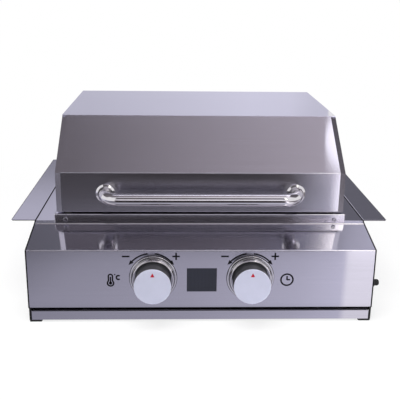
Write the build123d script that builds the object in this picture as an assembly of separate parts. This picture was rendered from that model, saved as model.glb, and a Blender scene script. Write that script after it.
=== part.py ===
from build123d import *
import os

# A built-in electric grill: a hooded tub with a ribbed plate over a heating element, a control
# box with two knobs and a display in front of it, and a drip drawer underneath.
# Millimetres. X runs to the right, Y to the back and Z up. While the pieces are made, y = 0 is
# the face of the fascia and z = 0 is the ground. The finished pieces move along Y together, so
# that the origin lies under the middle of the whole grill.

# Sheet metal and fits
SHEET = 1.2  # stainless sheet of the body and the hood
FOLD = 2.0  # outside radius of a fold
PLAY = 0.3  # room between pieces that slide past each other
BORE_PLAY = 0.05  # room round a turning shaft or pin
HOLE_PLAY = 0.2  # room round a part that passes through a hole

# Base and feet
FOOT_HEIGHT = 3.0
FOOT_SIZE = 19.5
FOOT_CORNER = 2.0
BASE_HEIGHT = 20.5  # from the top of the feet to the lower edge of the fascia
RAIL_SHEET = 3.0
RAIL_FLANGE = 20.0
RAIL_SETBACK = 3.0  # the foot flange starts this far behind the drawer front

# Control box
FASCIA_HEIGHT = 98.5
PANEL_RETURN = 10.0
SLOPE_RUN = 80.0
SLOPE_RISE = 16.5
LIP_RUN = 8.0
LIP_RISE = 3.0

# Tub, rim and deck
RIM_WIDTH = 484.0
RIM_DEPTH = 392.0
RIM_HEIGHT = 14.0  # above the deck
RIM_FLANGE = 14.0
RIM_CORNER = 1.5
TUB_DEPTH = 97.5
SIDE_DECK = 33.0  # deck left free at each side of the rim
REAR_DECK = 36.0  # deck left free behind the rim
OPENING_PLAY = 0.5
TAB_WIDTH = 16.0
TAB_HEIGHT = 9.0
BOTTOM_UPTURN = 14.0
REAR_FLANGE = 15.0

# Mounting flanges at the sides
FLANGE_REACH = 40.5
FLANGE_SHEET = 1.5
FLANGE_LEG = 24.0
FLANGE_SETBACK = 3.0
FLANGE_CORNER = 4.0
FLANGE_SCREWS = 4
FLANGE_SCREW_INSET = 22.0
FLANGE_SCREW_DROP = 14.5  # below the deck

# Hood
HOOD_GAP = 3.0
HOOD_INSET = 4.0  # the hood stands this far inside the rim at the sides and the back
HOOD_FRONT_HEIGHT = 67.5
HOOD_SLOPE_RUN = 103.0
HOOD_SLOPE_RISE = 76.0
BUMPER_INSET = 28.0  # rear pads before the hood's rear wall
HEM = 12.0
STRIP_WIDTH = 9.0
STRIP_SETBACK = 2.5
BUMPER_RADIUS = 5.0

# Handle
HANDLE_SPAN = 313.0
HANDLE_TUBE = 20.5
HANDLE_WALL = 1.5
HANDLE_REACH = 37.5
HANDLE_BEND = 26.0
HANDLE_LIFT = 32.5  # above the lower edge of the hood
HANDLE_PLUG = 11.0
ROSETTE_RADIUS = 16.0
ROSETTE_HEIGHT = 4.0
ROSETTE_EDGE = 1.6
ROSETTE_CROWN = 2.5

# Hinges
HINGE_SPACING = 300.0
HINGE_WIDTH = 48.0
HINGE_LEAF = 2.0
HINGE_LEAF_HEIGHT = 32.0
HINGE_RISE = 22.5  # pin above the deck
KNUCKLE_RADIUS = 6.0
KNUCKLE_WIDTH = 16.0
PIN_RADIUS = 3.0
PIN_END = 1.0
HINGE_GAP = 1.0  # lower leaf behind the rim
HINGE_SCREW_SPACING = 29.0
HINGE_SCREW_RISE = 26.0  # upper screws above the pin
HINGE_SCREW_SETBACK = 17.0  # lower screws behind the pin

# Screws
SCREW_RADIUS = 2.0
SCREW_HEAD_RADIUS = 3.6
SCREW_HEAD = 1.6
SCREW_REACH = 8.0
SOCKET = 1.7
SOCKET_DEPTH = 0.9
HANDLE_SCREW_SCALE = 1.45
RIM_SCREW_INSET = 18.5  # from the ends of the rim
SIDE_SCREWS = 3
SIDE_SCREW_INSET = 50.0  # from the front and the back of the body
REAR_SCREWS = 3
REAR_SCREW_INSET = 14.0  # from the floor and the deck

# Cooking plate and heating
PLATE_PLAY = 4.5
PLATE_HEIGHT = 16.0
PLATE_DROP = 9.5  # plate below the top of the rim
PLATE_CORNER = 8.0
PLATE_BORDER = 14.0
RIB_COUNT = 26
RIB_WIDTH = 6.0
RIB_HEIGHT = 6.0
GUTTER = 20.0
DRAIN_HOLE = 8.0
LEDGE = 14.0
LEDGE_WIDTH = 30.0
LEDGE_INSET = 60.0  # from the front and rear walls of the tub
STRAP_INSET = 120.0  # from the front and rear walls of the tub
ELEMENT_RADIUS = 4.0
ELEMENT_GAP = 2.0
ELEMENT_PITCH = 50.0
ELEMENT_RUNS = 8
ELEMENT_BEND = 20.0
ELEMENT_FRONT = 60.0  # front turns behind the tub's front wall
ELEMENT_REAR = 40.0  # rear turns before the tub's rear wall
ELEMENT_TAIL = 20.0  # ends in front of the tub
STRAP_WIDTH = 12.0
PROBE_RADIUS = 2.5
PROBE_LENGTH = 110.0
PROBE_DROP = 10.0
PROBE_COLLAR = 5.0
SPOUT_TOP = 25.0
SPOUT_END = 13.0
SPOUT_FLANGE = 12.0

# Knobs and bezels
KNOB_SPACING = 154.0
KNOB_LIFT = 52.0  # above the lower edge of the fascia
KNOB_RADIUS = 28.75
KNOB_REACH = 36.0
KNOB_WAIST = 0.85
KNOB_WALL = 5.0
KNOB_FOOT_GAP = 1.2
CAP_HEIGHT = 3.0
CAP_CHAMFER = 0.6
BEZEL_RADIUS = 37.25
BEZEL_HEIGHT = 10.0
BEZEL_PLAY = 1.2
BEZEL_WALL = 3.6
BEZEL_STEP = 2.6
BEZEL_EDGE = 0.9
SHAFT_RADIUS = 3.0
BUSH_RADIUS = 4.5
BUSH_REACH = 6.0
ENCODER_SIZE = 16.0
ENCODER_DEPTH = 9.0
NUT_HEIGHT = 2.5
NUT_RADIUS = 6.5

# Display and electronics
DISPLAY_WIDTH = 47.5
DISPLAY_HEIGHT = 40.0
DISPLAY_DROP = 3.5  # display centre below the knob axes
WINDOW_RECESS = 0.2
WINDOW_DEPTH = 1.2
MODULE_BORDER = 6.0
MODULE_DEPTH = 8.0
BOARD_WIDTH = 220.0
BOARD_MARGIN = 13.0
BOARD_SHEET = 1.6
BOARD_STANDOFF = 17.0
STANDOFF_RADIUS = 3.0
STANDOFF_INSET = 6.0
RELAY_SIZE = (20.0, 16.0, 28.0)
RELAY_PLACES = (-80.0, -50.0)
TRANSFORMER_SIZE = (34.0, 22.0, 30.0)
TRANSFORMER_PLACE = 20.0
CAPACITOR_RADIUS = 6.0
CAPACITOR_HEIGHT = 18.0
CAPACITOR_PLACE = 70.0
TERMINAL_SIZE = (60.0, 22.0, 20.0)
TERMINAL_WAYS = 5
TERMINAL_WELL = 3.5
TERMINAL_WELL_DEPTH = 10.0
SHIELD_GAP = 9.0  # heat shield in front of the tub
LOOM_RADIUS = 4.0
LOOM_BEND = 14.0
LOOM_LIFT = 36.0  # above the bottom plate

# Reset breaker on the right wall
BUTTON_RADIUS = 5.2
BUTTON_REACH = 12.0
BUTTON_SETBACK = 12.0  # behind the fascia
BUTTON_LIFT = 38.5  # above the lower edge of the fascia
BUTTON_TRAVEL = 3.0
BUTTON_TAIL = 9.0
BUTTON_NOSE = 3.0
COLLAR_WALL = 1.4
COLLAR_REACH = 4.0
COLLAR_NUT_RADIUS = 8.2
COLLAR_NUT = 2.5
BREAKER_SIZE = (26.0, 18.0, 32.0)

# Power inlet on the rear panel
INLET_PLATE = (46.0, 28.0)
INLET_BODY = (32.0, 24.0)
INLET_SOCKET = (25.0, 17.0)
INLET_DEPTH = 22.0
INLET_SOCKET_DEPTH = 16.0
INLET_SHEET = 1.5
INLET_GAP = 6.0  # from the turned-in edge of the side wall
INLET_PIN = (2.0, 4.0)
INLET_PIN_LENGTH = 11.0
INLET_PIN_SPACING = 7.0
INLET_PIN_OFFSET = 2.0
VENT_COUNT = 9
VENT_WIDTH = 4.0
VENT_HEIGHT = 34.0
VENT_PITCH = 14.0
VENT_CORNER = 1.9

# Drip drawer
DRAWER_END_GAP = 0.8
DRAWER_TOP_GAP = 3.7
DRAWER_LIP = 8.0
TRAY_SHEET = 1.0
TRAY_SIDE_PLAY = 1.0
TRAY_REAR_GAP = 60.0
RUNNER_SHEET = 1.2
RUNNER_WIDTH = 14.0
RUNNER_SETBACK = 12.0

# Levels, from the ground up
RAIL_TOP = FOOT_HEIGHT + RAIL_SHEET
FASCIA_BOTTOM = FOOT_HEIGHT + BASE_HEIGHT
FASCIA_TOP = FASCIA_BOTTOM + FASCIA_HEIGHT
SLOPE_TOP = FASCIA_TOP + SLOPE_RISE
DECK_TOP = SLOPE_TOP + LIP_RISE
RIM_TOP = DECK_TOP + RIM_HEIGHT
TUB_FLOOR = RIM_TOP - TUB_DEPTH
PLATE_TOP = RIM_TOP - PLATE_DROP
PLATE_BOTTOM = PLATE_TOP - PLATE_HEIGHT
ELEMENT_Z = PLATE_BOTTOM - ELEMENT_GAP - ELEMENT_RADIUS
HOOD_BOTTOM = RIM_TOP + HOOD_GAP
HOOD_BEND = HOOD_BOTTOM + HOOD_FRONT_HEIGHT
HOOD_TOP = HOOD_BEND + HOOD_SLOPE_RISE
HANDLE_Z = HOOD_BOTTOM + HANDLE_LIFT
HINGE_Z = DECK_TOP + HINGE_RISE
KNOB_Z = FASCIA_BOTTOM + KNOB_LIFT
DISPLAY_Z = KNOB_Z - DISPLAY_DROP
BUTTON_Z = FASCIA_BOTTOM + BUTTON_LIFT
INSIDE_FLOOR = FASCIA_BOTTOM + SHEET
LOOM_Z = INSIDE_FLOOR + LOOM_LIFT
DRAWER_TOP = FASCIA_BOTTOM - DRAWER_TOP_GAP
TRAY_BOTTOM = RAIL_TOP + RUNNER_SHEET + PLAY
TRAY_TOP = DRAWER_TOP - FOLD - PLAY
RUNNER_TOP = TRAY_TOP + PLAY + RUNNER_SHEET

# Places from front to back
DECK_FRONT = SLOPE_RUN + LIP_RUN
RIM_FRONT = SLOPE_RUN
RIM_REAR = RIM_FRONT + RIM_DEPTH
BODY_DEPTH = RIM_REAR + REAR_DECK
TUB_FRONT = RIM_FRONT + RIM_FLANGE
TUB_REAR = RIM_REAR - RIM_FLANGE
TUB_MIDDLE = (TUB_FRONT + TUB_REAR) / 2
SHIELD_FRONT = TUB_FRONT - SHIELD_GAP - SHEET
FLANGE_FRONT = DECK_FRONT + FLANGE_SETBACK
HOOD_FRONT = RIM_FRONT
HOOD_REAR = RIM_REAR - HOOD_INSET
HOOD_SLOPE_END = HOOD_FRONT + HOOD_SLOPE_RUN
HINGE_Y = RIM_REAR + HINGE_GAP + KNUCKLE_RADIUS
TRAY_REAR = BODY_DEPTH - TRAY_REAR_GAP
FRAME_SHIFT = (KNOB_REACH - BODY_DEPTH - SCREW_HEAD) / 2

# Places from the middle to one side
RIM_HALF = RIM_WIDTH / 2
TUB_HALF = RIM_HALF - RIM_FLANGE
BODY_HALF = RIM_HALF + SIDE_DECK
INNER_HALF = BODY_HALF - SHEET
HOOD_HALF = RIM_HALF - HOOD_INSET
PANEL_HALF = HOOD_HALF - STRIP_WIDTH
TRAY_HALF = BODY_HALF - RAIL_SHEET - RUNNER_SHEET - TRAY_SIDE_PLAY
DRAWER_HALF = BODY_HALF - RAIL_SHEET - DRAWER_END_GAP
KNOB_X = KNOB_SPACING / 2
LOOM_X = -(INNER_HALF - REAR_FLANGE - INLET_GAP - INLET_BODY[0] / 2)
TUB_INSIDE_HALF = TUB_HALF - SHEET

# Outlines in Y and Z, with the metal on the right of the line
PANEL_LINE = [
    (PANEL_RETURN, FASCIA_BOTTOM),
    (0, FASCIA_BOTTOM),
    (0, FASCIA_TOP),
    (SLOPE_RUN, SLOPE_TOP),
    (DECK_FRONT + LIP_RUN, DECK_TOP + LIP_RISE),
]
HOOD_LINE = [
    (HOOD_FRONT + HEM, HOOD_BOTTOM),
    (HOOD_FRONT, HOOD_BOTTOM),
    (HOOD_FRONT, HOOD_BEND),
    (HOOD_SLOPE_END, HOOD_TOP),
    (HOOD_REAR, HOOD_TOP),
    (HOOD_REAR, HOOD_BOTTOM),
]


# Shapes that many pieces share

def span(half):
    """Limits that lie evenly about the middle."""
    return (-half, half)


def around(middle, width):
    """Limits of a width about a middle."""
    return (middle - width / 2, middle + width / 2)


def block(x, y, z):
    """Box between a low and a high limit on each axis."""
    size = [high - low for low, high in (x, y, z)]
    middle = [(low + high) / 2 for low, high in (x, y, z)]
    return Pos(*middle) * Box(*size)


def rod(radius, start, end):
    """Round bar from one point to another."""
    run = Vector(*end) - Vector(*start)
    return extrude(Plane(origin=start, z_dir=run) * Circle(radius), amount=run.length)


def side_plane(x):
    """Drawing plane across X, with Y and Z as its own axes. It faces +X."""
    return Plane(origin=(x, 0, 0), x_dir=(0, 1, 0), z_dir=(1, 0, 0))


def front_plane(y):
    """Drawing plane across Y, with X and Z as its own axes. It faces -Y."""
    return Plane(origin=(0, y, 0), x_dir=(1, 0, 0), z_dir=(0, -1, 0))


def prism(points, plane, depth):
    """Straight-sided outline carried along the plane's normal."""
    return extrude(plane * make_face(Polyline(*points, close=True)), amount=depth)


def parallel(points, distance):
    """Line moved to its right by a distance, with mitred corners."""
    spots = [Vector(*point) for point in points]
    steps = [(b - a).normalized() for a, b in zip(spots, spots[1:])]
    sides = [Vector(step.Y, -step.X) for step in steps]
    moved = [spots[0] + sides[0] * distance]
    for spot, before, after in zip(spots[1:], sides, sides[1:]):
        moved.append(spot + (before + after) * (distance / (1 + before.dot(after))))
    moved.append(spots[-1] + sides[-1] * distance)
    return [(spot.X, spot.Y) for spot in moved]


def turns_right(before, corner, after):
    """Whether a line turns to its right at a corner."""
    first = Vector(*corner) - Vector(*before)
    second = Vector(*after) - Vector(*corner)
    return first.cross(second).Z < 0


def folded(points, plane, depth, thickness=SHEET):
    """Bent sheet that follows a line, with the metal on its right, carried along the plane's normal."""
    tight = FOLD - thickness
    rights = [turns_right(*corner) for corner in zip(points, points[1:], points[2:])]
    face = FilletPolyline(*points, radius=[FOLD if right else tight for right in rights])
    back_points = parallel(points, thickness)
    back = FilletPolyline(*back_points, radius=[tight if right else FOLD for right in rights])
    ends = [Line(face @ 0, back @ 0), Line(face @ 1, back @ 1)]
    outline = make_face([*face.edges(), *back.edges(), *ends])
    return extrude(plane * outline, amount=depth)


def turned(points):
    """Round piece about Z with an outline of (radius, height) points."""
    return revolve(Plane.XZ * make_face(Polyline(*points, close=True)), Axis.Z)


def swept(radius, path):
    """Round bar along a path."""
    return sweep(Plane(origin=path @ 0, z_dir=path % 0) * Circle(radius), path=path)


def rounded(solid, axis, radius):
    """Solid with its edges along one axis rounded."""
    return fillet(solid.edges().filter_by(axis), radius)


def group(pieces):
    """Like pieces that stay separate solids in one node."""
    return Compound(children=list(pieces))


def other_side(solid):
    """The same piece on the left."""
    return mirror(solid, about=Plane.YZ)


def screw(plane, scale=1.0):
    """Pan-head screw with a hexagon socket: head in front of the plane, shank behind it."""
    height = SCREW_HEAD * scale
    head = extrude(plane * Circle(SCREW_HEAD_RADIUS * scale), amount=height)
    crown = head.edges().filter_by(GeomType.CIRCLE).sort_by(Axis(plane.origin, plane.z_dir))[-1]
    head = fillet(crown, height / 2)
    socket = plane.offset(height) * RegularPolygon(SOCKET * scale, 6)
    shank = extrude(plane * Circle(SCREW_RADIUS * scale), amount=-SCREW_REACH * scale)
    return head + shank - extrude(socket, amount=-SOCKET_DEPTH * scale)


def holes(planes, scale=1.0):
    """Round cutters for the shanks of screws that sit on these planes."""
    radius = SCREW_RADIUS * scale + HOLE_PLAY
    reach = SCREW_REACH * scale
    return [extrude(plane.offset(reach) * Circle(radius), amount=-2 * reach) for plane in planes]


# Where the screws sit

def evenly(low, high, count):
    """Places spread evenly from a low to a high limit."""
    return [low + (high - low) * step / (count - 1) for step in range(count)]


def rim_screw_planes(y, facing):
    """Two screws near the ends of the rim's front or rear wall."""
    z = DECK_TOP + TAB_HEIGHT / 2
    return [Plane(origin=(x, y, z), z_dir=(0, facing, 0)) for x in span(RIM_HALF - RIM_SCREW_INSET)]


def side_screw_planes(side):
    """Screws through a side wall into the turned-up edge of the bottom plate."""
    z = INSIDE_FLOOR + BOTTOM_UPTURN / 2
    places = evenly(SIDE_SCREW_INSET, BODY_DEPTH - SIDE_SCREW_INSET, SIDE_SCREWS)
    return [Plane(origin=(side * BODY_HALF, y, z), z_dir=(side, 0, 0)) for y in places]


def flange_screw_planes(side):
    """Screws through the upright leg of a mounting flange."""
    x = side * (BODY_HALF + FLANGE_SHEET)
    z = DECK_TOP - FLANGE_SCREW_DROP
    places = evenly(FLANGE_FRONT + FLANGE_SCREW_INSET, BODY_DEPTH - FLANGE_SCREW_INSET, FLANGE_SCREWS)
    return [Plane(origin=(x, y, z), z_dir=(side, 0, 0)) for y in places]


def rear_screw_planes():
    """Screws through the rear panel into the turned-in edges of the side walls."""
    places = evenly(INSIDE_FLOOR + REAR_SCREW_INSET, DECK_TOP - REAR_SCREW_INSET, REAR_SCREWS)
    sides = span(INNER_HALF - REAR_FLANGE / 2)
    return [Plane(origin=(x, BODY_DEPTH, z), z_dir=(0, 1, 0)) for x in sides for z in places]


def handle_screw_planes():
    """Screws from inside the hood into the ends of the handle."""
    y = HOOD_FRONT + SHEET
    return [Plane(origin=(x, y, HANDLE_Z), z_dir=(0, 1, 0)) for x in span(HANDLE_SPAN / 2)]


def hood_hinge_planes(x):
    """Screws through an upper hinge leaf into the hood's rear wall."""
    y = HOOD_REAR + HINGE_LEAF
    z = HINGE_Z + HINGE_SCREW_RISE
    places = around(x, HINGE_SCREW_SPACING)
    return [Plane(origin=(place, y, z), z_dir=(0, 1, 0)) for place in places]


def deck_hinge_planes(x):
    """Screws through a lower hinge leaf into the deck."""
    y = HINGE_Y + HINGE_SCREW_SETBACK
    z = DECK_TOP + HINGE_LEAF
    return [Plane(origin=(place, y, z)) for place in around(x, HINGE_SCREW_SPACING)]


# Base, body and control box

def base_rail():
    """Right base rail: an upright web with a foot flange turned inwards."""
    web = block((BODY_HALF - RAIL_SHEET, BODY_HALF), (0, BODY_DEPTH), (FOOT_HEIGHT, FASCIA_BOTTOM))
    flange_x = (BODY_HALF - RAIL_FLANGE, BODY_HALF)
    flange_y = (RAIL_SETBACK, BODY_DEPTH - RAIL_SHEET)
    return web + block(flange_x, flange_y, (FOOT_HEIGHT, RAIL_TOP))


def base_rail_rear():
    """Upright strip that joins the two base rails at the back."""
    y = (BODY_DEPTH - RAIL_SHEET, BODY_DEPTH)
    return block(span(BODY_HALF - RAIL_SHEET), y, (FOOT_HEIGHT, FASCIA_BOTTOM))


def feet():
    """Four rubber pads under the corners of the base."""
    corner = BODY_HALF - FOOT_SIZE / 2
    pads = []
    for x in span(corner):
        for y in (FOOT_SIZE / 2, BODY_DEPTH - FOOT_SIZE / 2):
            pad = block(around(x, FOOT_SIZE), around(y, FOOT_SIZE), (0, FOOT_HEIGHT))
            pads.append(rounded(pad, Axis.Z, FOOT_CORNER))
    return group(pads)


def bottom_plate():
    """Floor of the body, turned up at the sides, with a hole for the drain spout."""
    floor = block(span(INNER_HALF), (PANEL_RETURN, BODY_DEPTH), (FASCIA_BOTTOM, INSIDE_FLOOR))
    edge_y = (PANEL_RETURN, BODY_DEPTH - 2 * SHEET - PLAY)
    edge_z = (FASCIA_BOTTOM, INSIDE_FLOOR + BOTTOM_UPTURN)
    edge = block((INNER_HALF - SHEET, INNER_HALF), edge_y, edge_z)
    drain = rod(SPOUT_TOP, (0, TUB_MIDDLE, 0), (0, TUB_MIDDLE, TUB_FLOOR))
    screws = holes(side_screw_planes(1) + side_screw_planes(-1))
    return floor + edge + other_side(edge) - drain - screws


def cheek():
    """Front of the right side wall, cut to the underside of the control panel."""
    inner = parallel(PANEL_LINE, SHEET)
    outline = [(PANEL_RETURN, FASCIA_BOTTOM), *inner, (inner[-1][0], FASCIA_BOTTOM)]
    plate = prism(outline, side_plane(INNER_HALF), SHEET) - panel_sheet()
    return plate & block((0, BODY_HALF), (SHEET, DECK_FRONT), (FASCIA_BOTTOM, DECK_TOP))


def rear_edge():
    """Rear edge of the right side wall, turned in behind the rear panel."""
    x = (INNER_HALF - REAR_FLANGE, INNER_HALF)
    y = (BODY_DEPTH - 2 * SHEET, BODY_DEPTH - SHEET)
    return block(x, y, (INSIDE_FLOOR, DECK_TOP - SHEET / 2))


def rim_tab(x, y, z_low):
    """Tab that stands up inside the rim and takes one of its screws."""
    return block(around(x, TAB_WIDTH), (y, y + SHEET), (z_low, DECK_TOP + TAB_HEIGHT))


def body_wrap():
    """Deck and side walls folded from one sheet, with the opening for the tub."""
    line = [
        (-BODY_HALF, FASCIA_BOTTOM),
        (-BODY_HALF, DECK_TOP),
        (BODY_HALF, DECK_TOP),
        (BODY_HALF, FASCIA_BOTTOM),
    ]
    shell = folded(line, front_plane(BODY_DEPTH), BODY_DEPTH - DECK_FRONT)
    right = [cheek(), rear_edge()]
    tabs = [rim_tab(x, RIM_REAR - 2 * SHEET, DECK_TOP - SHEET / 2) for x in span(RIM_HALF - RIM_SCREW_INSET)]
    shell = shell + right + [other_side(piece) for piece in right] + tabs
    opening_y = (TUB_FRONT - OPENING_PLAY, TUB_REAR + OPENING_PLAY)
    opening = block(span(TUB_HALF + OPENING_PLAY), opening_y, (DECK_TOP - 2 * SHEET, DECK_TOP + SHEET))
    planes = rim_screw_planes(RIM_REAR, 1) + rear_screw_planes()
    planes += [deck for x in span(HINGE_SPACING / 2) for deck in deck_hinge_planes(x)]
    for side in (1, -1):
        planes += side_screw_planes(side) + flange_screw_planes(side)
    button = rod(
        BUTTON_RADIUS + COLLAR_WALL + HOLE_PLAY,
        (INNER_HALF - SHEET, BUTTON_SETBACK, BUTTON_Z),
        (BODY_HALF + SHEET, BUTTON_SETBACK, BUTTON_Z),
    )
    return shell - opening - button - holes(planes)


def rear_panel():
    """Flat back of the body, with upright vents and the cut-out for the power inlet."""
    y = (BODY_DEPTH - SHEET, BODY_DEPTH)
    sheet = block(span(INNER_HALF), y, (INSIDE_FLOOR, DECK_TOP - SHEET))
    sheet = fillet(sheet.edges().filter_by(Axis.Y).group_by(Axis.Z)[-1], FOLD - SHEET)
    middle = VENT_PITCH * (VENT_COUNT - 1) / 2
    vent_z = around((INSIDE_FLOOR + DECK_TOP) / 2, VENT_HEIGHT)
    vents = []
    for x in evenly(-middle, middle, VENT_COUNT):
        vent = block(around(x, VENT_WIDTH), around(BODY_DEPTH, 4 * SHEET), vent_z)
        vents.append(rounded(vent, Axis.Y, VENT_CORNER))
    width, height = [size + 2 * HOLE_PLAY for size in INLET_BODY]
    cut_out = block(around(LOOM_X, width), around(BODY_DEPTH, 4 * SHEET), around(LOOM_Z, height))
    return sheet - vents - cut_out - holes(rear_screw_planes())


def lip_height(y):
    """Height of the control panel's lip at a place behind the slope."""
    return SLOPE_TOP + (y - SLOPE_RUN) * LIP_RISE / LIP_RUN


def panel_sheet():
    """Bent sheet of the control panel, as far as the deck."""
    sheet = folded(PANEL_LINE, side_plane(-BODY_HALF), 2 * BODY_HALF)
    return sheet - block(span(BODY_HALF + SHEET), (DECK_FRONT, 2 * DECK_FRONT), (0, RIM_TOP))


def control_panel():
    """Fascia, sloping top and lip, bent from one sheet, with its holes and two rim tabs."""
    tab_y = RIM_FRONT + SHEET
    tab_low = lip_height(tab_y + SHEET / 2) - SHEET / 2
    tabs = [rim_tab(x, tab_y, tab_low) for x in span(RIM_HALF - RIM_SCREW_INSET)]
    window = block(span(DISPLAY_WIDTH / 2), span(2 * SHEET), around(DISPLAY_Z, DISPLAY_HEIGHT))
    radius = BUSH_RADIUS + HOLE_PLAY
    bushes = [rod(radius, (x, -SHEET, KNOB_Z), (x, 2 * SHEET, KNOB_Z)) for x in span(KNOB_X)]
    return panel_sheet() + tabs - window - bushes - holes(rim_screw_planes(RIM_FRONT, -1))


def heat_shield():
    """Upright sheet between the control box and the tub, with a foot on the floor."""
    half = INNER_HALF - SHEET - HOLE_PLAY
    y = (SHIELD_FRONT, SHIELD_FRONT + SHEET)
    wall = block(span(half), y, (INSIDE_FLOOR, FASCIA_TOP))
    foot = block(span(half), (SHIELD_FRONT, TUB_FRONT), (INSIDE_FLOOR, INSIDE_FLOOR + SHEET))
    ways = [through_wall(x, ELEMENT_Z, ELEMENT_RADIUS) for x in span(element_half())]
    ways.append(through_wall(0, ELEMENT_Z - PROBE_DROP, PROBE_RADIUS))
    ways.append(through_wall(LOOM_X, LOOM_Z, LOOM_RADIUS))
    return wall + foot - ways


def through_wall(x, z, radius):
    """Cutter for a round part that passes from the control box into the tub."""
    return rod(radius + HOLE_PLAY, (x, SHIELD_FRONT - SHEET, z), (x, TUB_FRONT + 2 * SHEET, z))


def mounting_flange():
    """Right mounting flange: an angle whose upright leg is screwed to the side wall."""
    line = [
        (BODY_HALF, DECK_TOP - FLANGE_LEG),
        (BODY_HALF, DECK_TOP),
        (BODY_HALF + FLANGE_REACH, DECK_TOP),
    ]
    angle = folded(line, front_plane(BODY_DEPTH), BODY_DEPTH - FLANGE_FRONT, FLANGE_SHEET)
    corners = angle.edges().filter_by(Axis.Z).group_by(Axis.X)[-1]
    return fillet(corners, FLANGE_CORNER) - holes(flange_screw_planes(1))


# Tub, plate and heating

def rim():
    """Folded rim of the tub, whose outer wall stands on the deck and the lip."""
    y = (RIM_FRONT, RIM_REAR)
    low = FASCIA_TOP
    ring = rounded(block(span(RIM_HALF), y, (low, RIM_TOP)), Axis.Z, RIM_CORNER)
    ring = fillet(ring.edges().group_by(Axis.Z)[-1], FOLD)
    inside_y = (RIM_FRONT + SHEET, RIM_REAR - SHEET)
    ring -= block(span(RIM_HALF - SHEET), inside_y, (low, RIM_TOP - SHEET))
    ground = [
        (RIM_FRONT - SHEET, low),
        (RIM_FRONT - SHEET, SLOPE_TOP),
        (RIM_FRONT, SLOPE_TOP),
        (DECK_FRONT, DECK_TOP),
        (RIM_REAR + SHEET, DECK_TOP),
        (RIM_REAR + SHEET, low),
    ]
    return ring - prism(ground, side_plane(-BODY_HALF), 2 * BODY_HALF) - panel_sheet()


def fire_tub():
    """Deep tub hung inside its folded rim, with a drain hole and ways for the heating parts."""
    well = block(span(TUB_HALF), (TUB_FRONT, TUB_REAR), (TUB_FLOOR, RIM_TOP - SHEET / 2))
    inside_y = (TUB_FRONT + SHEET, TUB_REAR - SHEET)
    hollow = block(span(TUB_INSIDE_HALF), inside_y, (TUB_FLOOR + SHEET, RIM_TOP + SHEET))
    drain = rod(SPOUT_TOP, (0, TUB_MIDDLE, TUB_FLOOR - SHEET), (0, TUB_MIDDLE, TUB_FLOOR + 2 * SHEET))
    ways = [through_wall(x, ELEMENT_Z, ELEMENT_RADIUS) for x in span(element_half())]
    ways.append(through_wall(0, ELEMENT_Z - PROBE_DROP, PROBE_RADIUS))
    planes = rim_screw_planes(RIM_FRONT, -1) + rim_screw_planes(RIM_REAR, 1)
    return rim() + well - hollow - drain - ways - holes(planes)


def cooking_plate():
    """Cast plate with ribs from front to back, a gutter in front of them and a drain hole."""
    half = TUB_INSIDE_HALF - PLATE_PLAY
    front = TUB_FRONT + SHEET + PLATE_PLAY
    rear = TUB_REAR - SHEET - PLATE_PLAY
    plate = block(span(half), (front, rear), (PLATE_BOTTOM, PLATE_TOP))
    plate = rounded(plate, Axis.Z, PLATE_CORNER)
    groove_z = (PLATE_TOP - RIB_HEIGHT, PLATE_TOP + SHEET)
    gutter_end = front + PLATE_BORDER + GUTTER
    gutter = block(span(half - PLATE_BORDER), (front + PLATE_BORDER, gutter_end), groove_z)
    pitch = (2 * (half - PLATE_BORDER) + RIB_WIDTH) / (RIB_COUNT + 1)
    grooves = []
    for step in range(RIB_COUNT + 1):
        low = -half + PLATE_BORDER + step * pitch
        x = (low, low + pitch - RIB_WIDTH)
        grooves.append(block(x, (gutter_end - SHEET, rear - PLATE_BORDER), groove_z))
    drain_y = (front + PLATE_BORDER + gutter_end) / 2
    drain = rod(DRAIN_HOLE, (0, drain_y, PLATE_BOTTOM - SHEET), (0, drain_y, PLATE_TOP))
    return plate - gutter - grooves - drain


def plate_brackets():
    """Four angles on the tub's side walls that carry the cooking plate."""
    brackets = []
    for y in (TUB_FRONT + LEDGE_INSET, TUB_REAR - LEDGE_INSET):
        place = around(y, LEDGE_WIDTH)
        wall_x = (TUB_INSIDE_HALF - SHEET, TUB_INSIDE_HALF)
        ledge_x = (TUB_INSIDE_HALF - LEDGE, TUB_INSIDE_HALF)
        leg = block(wall_x, place, (PLATE_BOTTOM - LEDGE, PLATE_BOTTOM))
        bracket = leg + block(ledge_x, place, (PLATE_BOTTOM - SHEET, PLATE_BOTTOM))
        brackets += [bracket, other_side(bracket)]
    return group(brackets)


def element_half():
    """Distance of the outer runs of the heating element from the middle."""
    return ELEMENT_PITCH * (ELEMENT_RUNS - 1) / 2


def heating_element():
    """Tube that runs to and fro under the plate, with both ends in the control box."""
    near = TUB_FRONT + ELEMENT_FRONT
    far = TUB_REAR - ELEMENT_REAR
    tail = TUB_FRONT - ELEMENT_TAIL
    points = []
    for run, x in enumerate(evenly(-element_half(), element_half(), ELEMENT_RUNS)):
        ends = [near, far] if run % 2 == 0 else [far, near]
        points += [(x, y, ELEMENT_Z) for y in ends]
    points[0] = (points[0][0], tail, ELEMENT_Z)
    points[-1] = (points[-1][0], tail, ELEMENT_Z)
    return swept(ELEMENT_RADIUS, FilletPolyline(*points, radius=ELEMENT_BEND))


def element_straps():
    """Two flat bars across the tub that carry the heating element."""
    top = ELEMENT_Z - ELEMENT_RADIUS
    straps = []
    for y in (TUB_FRONT + STRAP_INSET, TUB_REAR - STRAP_INSET):
        straps.append(block(span(TUB_INSIDE_HALF), around(y, STRAP_WIDTH), (top - SHEET, top)))
    return group(straps)


def temperature_probe():
    """Sensor rod through the front of the tub, with a collar against its wall."""
    z = ELEMENT_Z - PROBE_DROP
    start = TUB_FRONT - ELEMENT_TAIL
    stem = rod(PROBE_RADIUS, (0, start, z), (0, start + PROBE_LENGTH, z))
    return stem + rod(PROBE_COLLAR, (0, TUB_FRONT - PROBE_COLLAR, z), (0, TUB_FRONT, z))


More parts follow.
